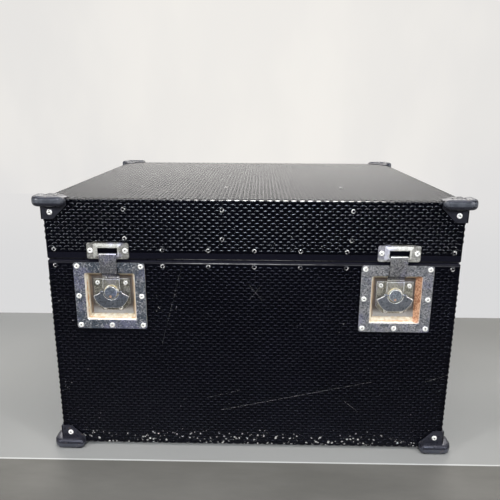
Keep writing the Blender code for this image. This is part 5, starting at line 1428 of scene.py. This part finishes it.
def grow_rod(piece, at, move=None, spin=None):
    """Extend the rod's end face, at the given place, straight on or round a bend."""
    pick(piece, "FACE", lambda face: (face.calc_center_median() - Vector(at)).length < 1e-4)
    if move:
        bpy.ops.mesh.extrude_region_move()
        bpy.ops.transform.translate(value=move)
    else:
        bpy.ops.mesh.spin(steps=6, angle=spin[1], center=spin[0], axis=(0, -1, 0))
    leave()


y = -PIVOT_OUT
foot_z = PIVOT_Z - BAIL_DROP
grow_rod(bail, (-0.0584, y, PIVOT_Z), move=(0.0044, 0, 0))
drop_at = Vector((-0.054, y, PIVOT_Z - 0.004))
grow_rod(bail, (-0.054, y, PIVOT_Z), spin=(drop_at, math.pi / 2))
print("bail ends near", [round(c, 4) for c in bail.data.vertices[-1].co])
leg_top = (-0.050, y, PIVOT_Z - 0.004)
grow_rod(bail, leg_top, move=(0, 0, foot_z + 0.007 - PIVOT_Z + 0.004))
grow_rod(bail, (-0.050, y, foot_z + 0.007), spin=((-0.043, y, foot_z + 0.007), -math.pi / 2))
grow_rod(bail, (-0.043, y, foot_z), move=(0.043, 0, 0))
pick(bail, "FACE", lambda face: (face.calc_center_median() - Vector((0, y, foot_z))).length < 1e-4)
bpy.ops.mesh.delete(type="FACE")
leave()
only(bail)
mirror = bail.modifiers.new("mirror", "MIRROR")
mirror.merge_threshold = 1e-5
bpy.ops.object.modifier_apply(modifier=mirror.name)
tidy_normals(bail)
paint(bail, steel)
smooth(bail, 50)

grip = add_rod("grip", 0.0082, -0.039, 0.039, 32, place=(PIVOT_OUT, foot_z))
pick(grip, "FACE", lambda face: abs(face.normal.x) > 0.9)
bpy.ops.mesh.delete(type="ONLY_FACE")
leave()
only(grip)
bpy.ops.object.mode_set(mode="EDIT")
for index in range(1, 28):
    bpy.ops.mesh.select_all(action="SELECT")
    bpy.ops.mesh.bisect(plane_co=(-0.039 + index * 0.078 / 28, 0, 0), plane_no=(1, 0, 0))
leave()
axis_at = Vector((0, -PIVOT_OUT, foot_z))
for vertex in grip.data.vertices:
    ring = round((vertex.co.x + 0.039) / 0.078 * 28)
    swell = 1.0 + 0.09 * (1 - math.cos(ring / 4 * math.tau)) / 2 if 0 < ring < 28 else 0.9
    vertex.co.y = axis_at.y + (vertex.co.y - axis_at.y) * swell
    vertex.co.z = axis_at.z + (vertex.co.z - axis_at.z) * swell
thicken(grip, 0.0035)
tidy_normals(grip)
paint(grip, rubber)
smooth(grip, 60)
for prefix, turn in (("left", LEFT), ("right", RIGHT)):
    place = on_side(turn, 0, HANDLE_Z)
    settle(copy_piece(handle_dish, f"{prefix}_handle_pressing", place), "base",
           (f"{prefix}_handle_dish",))
    settle(copy_piece(bail, f"{prefix}_bail_rod", place), f"{prefix}_handle",
           (f"{prefix}_handle_bail",))
    settle(copy_piece(grip, f"{prefix}_grip_sleeve", place), f"{prefix}_handle",
           (f"{prefix}_handle_grip",))
for part in (handle_dish, bail, grip):
    drop(part)

# %% [markdown]
# The lining is soft foam cut from slab. A copy of the frame's tray is merged, its flat faces are
# dissolved and its edges are rounded. The pad in the lid is made the same way.

# %% Foam lining
for node, body in (("base_foam", "base"), ("lid_foam", "lid")):
    lining = copy_piece(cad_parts[node], f"{node}_lining")
    tidy_normals(lining)
    only(lining)
    bpy.ops.object.mode_set(mode="EDIT")
    bpy.ops.mesh.select_all(action="SELECT")
    bpy.ops.mesh.dissolve_limited(angle_limit=math.radians(1))
    leave()
    soften(lining, 0.0012, 3)
    paint(lining, foam_grey)
    smooth(lining, 40)
    settle(lining, body, (node,))

# %% [markdown]
# A plain grey table top across a pale floor, and an off-white wall behind. The table's front
# edge shows as a bright line with a darker strip before it. All three are colours of one plane,
# told apart by where they lie; the table top is painted darker towards its back and its sides as
# painted shade. The wall is painted brighter in its middle, higher up and in soft fold-like
# patches, as painted light.

# %% Floor and wall
TABLE_FRONT = -0.3170
TABLE_BACK = 0.309
bpy.ops.object.select_all(action="DESELECT")
bpy.ops.mesh.primitive_plane_add(size=12, location=(0, 0, 0))
floor = added("floor")
ground = Finish("floor_paint", (0.4, 0.4, 0.4), 0.6)
ground.gloss(Specular_IOR_Level=0.25)
slanted = ground.maths("SUBTRACT", ground.axis(1), ground.maths("MULTIPLY", ground.axis(0), 0.0035))
behind = ground.span(slanted, TABLE_BACK, TABLE_BACK + 0.003)
before = ground.span(slanted, TABLE_FRONT - 0.001, TABLE_FRONT, 1.0, 0.0)
rim = ground.span(ground.maths("ABSOLUTE", ground.maths("SUBTRACT", slanted, TABLE_FRONT)),
                  0.0006, 0.0022, 0.8, 0.0)
cloud = ground.span(ground.noise(1.6, 3), 0.3, 0.7)
grain = ground.span(ground.noise(14, 5, 0.6, (0.3, 1, 1)), 0.3, 0.7)
table = ground.mix(cloud, (0.248, 0.248, 0.242), (0.276, 0.276, 0.268))
strip = ground.mix(grain, (0.105, 0.101, 0.092), (0.135, 0.130, 0.119))
colour = ground.mix(before, table, strip)
colour = ground.mix(rim, colour, (0.60, 0.60, 0.585))
# Painted shade: the table top darkens towards the back, more on the right, and towards both sides.
shade = ground.mix(ground.span(ground.axis(0), -0.6, 0.6), (0.74, 0.75, 0.77), (0.66, 0.66, 0.65))
side_shade = ground.mix(ground.span(ground.axis(0), 0.20, 0.50), (1.0, 1.0, 1.0), (0.86, 0.86, 0.855))
side_shade = ground.mix(ground.span(ground.axis(0), -0.50, -0.20, 1.0, 0.0), side_shade,
                        (0.92, 0.92, 0.915))
shade = ground.mix(ground.span(slanted, -0.10, 0.30, 1.0, 0.0), shade, (1.0, 1.0, 1.0))
for tint in (side_shade,):
    product = ground.nodes.new("ShaderNodeVectorMath")
    product.operation = "MULTIPLY"
    ground.links.new(shade, product.inputs[0])
    ground.links.new(tint, product.inputs[1])
    shade = product.outputs[0]
tinted = ground.nodes.new("ShaderNodeVectorMath")
tinted.operation = "MULTIPLY"
ground.links.new(colour, tinted.inputs[0])
ground.links.new(shade, tinted.inputs[1])
ground.use("Base Color", tinted.outputs[0])


def shown_flat(finish, tone, share=None):
    """Show a tone as it is written to the camera and to gloss, and shade it for all else."""
    seen = finish.nodes.new("ShaderNodeLightPath").outputs
    straight = finish.maths("MAXIMUM", seen["Is Camera Ray"], seen["Is Glossy Ray"])
    straight = finish.maths("MAXIMUM", straight, seen["Is Transmission Ray"])
    if share is not None:
        straight = finish.maths("MULTIPLY", straight, share)
    flat = finish.nodes.new("ShaderNodeEmission")
    finish.links.new(tone, flat.inputs["Color"])
    blend = finish.nodes.new("ShaderNodeMixShader")
    finish.links.new(straight, blend.inputs[0])
    finish.links.new(finish.shader.outputs[0], blend.inputs[1])
    finish.links.new(flat.outputs[0], blend.inputs[2])
    finish.links.new(blend.outputs[0], finish.nodes["Material Output"].inputs["Surface"])


backdrop_tone = ground.mix(ground.span(ground.axis(1), 0.4, 2.2), (0.70, 0.70, 0.705),
                           (0.76, 0.75, 0.745))
shown_flat(ground, backdrop_tone, behind)
paint(floor, ground)

bpy.ops.object.select_all(action="DESELECT")
bpy.ops.mesh.primitive_plane_add(size=12, location=(0, 2.4, 3), rotation=(math.pi / 2, 0, 0))
wall = added("wall")
plaster = Finish("wall_paint", (0.82, 0.81, 0.79), 0.9)
plaster.use("Base Color", plaster.mix(plaster.noise(0.8, 2), (0.78, 0.77, 0.75),
                                      (0.85, 0.84, 0.82)))
# Painted light on the wall: brighter towards its middle and higher up, with soft brighter patches for
# folds.
centre = plaster.span(plaster.maths("ABSOLUTE", plaster.axis(0)), 0.2, 1.5, 1.0, 0.0)
height = plaster.span(plaster.axis(2), 0.0, 0.55)
wall_tone = plaster.mix(height, (0.76, 0.75, 0.745), (0.80, 0.785, 0.765))
folds = plaster.span(plaster.noise(2.2, 3, 0.5, (1, 1, 0.5)), 0.35, 0.65, 0.0, 0.35)
wall_tone = plaster.mix(plaster.maths("ADD", plaster.maths("MULTIPLY", centre, 0.6), folds),
                        wall_tone, (0.90, 0.875, 0.835))
shown_flat(plaster, wall_tone)
paint(wall, plaster)

# %% [markdown]
# Soft light from a large lamp in front and above, one behind and above that the lid's top
# mirrors, and a small one at each side, which puts the glints on the embossing near the ends.
# The world is brighter above than at eye level, as in a plain room.

# %% Lamps and world


def add_lamp(name, spot, target, size, power, tone=(1, 1, 1)):
    data = bpy.data.lights.new(name, "AREA")
    data.shape = "RECTANGLE"
    data.size, data.size_y = size
    data.energy = power
    data.color = tone
    lamp = bpy.data.objects.new(name, data)
    lamp.matrix_world = Matrix.Translation(spot) @ (
        Vector(target) - Vector(spot)).to_track_quat("-Z", "Y").to_matrix().to_4x4()
    scene.collection.objects.link(lamp)


add_lamp("front_lamp", (0.0, -2.3, 1.8), (0, -0.28, 0.3), (1.0, 0.45), 44, (0.88, 0.94, 1.0))
add_lamp("over_lamp", (0.0, -0.85, 2.5), (0, -0.28, 0.4), (3.2, 0.35), 38, (1, 0.97, 0.93))
add_lamp("back_lamp", (0, 2.2, 1.95), (0, 0, 0.4), (3.2, 1.2), 102, (1, 0.97, 0.92))
add_lamp("left_lamp", (-1.8, -1.45, 0.96), (0, -0.3, 0.3), (0.18, 0.22), 24, (0.97, 0.98, 1))
add_lamp("right_lamp", (1.8, -1.45, 0.96), (0, -0.3, 0.3), (0.18, 0.22), 22, (0.97, 0.98, 1))

world = bpy.data.worlds.new("studio")
scene.world = world
world.use_nodes = True
nodes, links = world.node_tree.nodes, world.node_tree.links
backdrop = nodes["Background"]
direction = nodes.new("ShaderNodeSeparateXYZ")
links.new(nodes.new("ShaderNodeTexCoord").outputs["Generated"], direction.inputs[0])
above = nodes.new("ShaderNodeMapRange")
above.inputs["From Min"].default_value = 0.45
above.inputs["From Max"].default_value = 0.95
above.inputs["To Min"].default_value = 0.03
above.inputs["To Max"].default_value = 0.80
links.new(direction.outputs["Z"], above.inputs["Value"])
links.new(above.outputs["Result"], backdrop.inputs["Strength"])
backdrop.inputs["Color"].default_value = (0.93, 0.95, 1.0, 1.0)

# %% Remove the patterns
for pattern in (dome_pair, level_dome, upright_dome, big_rivet, small_rivet, black_rivet):
    drop(pattern)
bpy.context.view_layer.update()
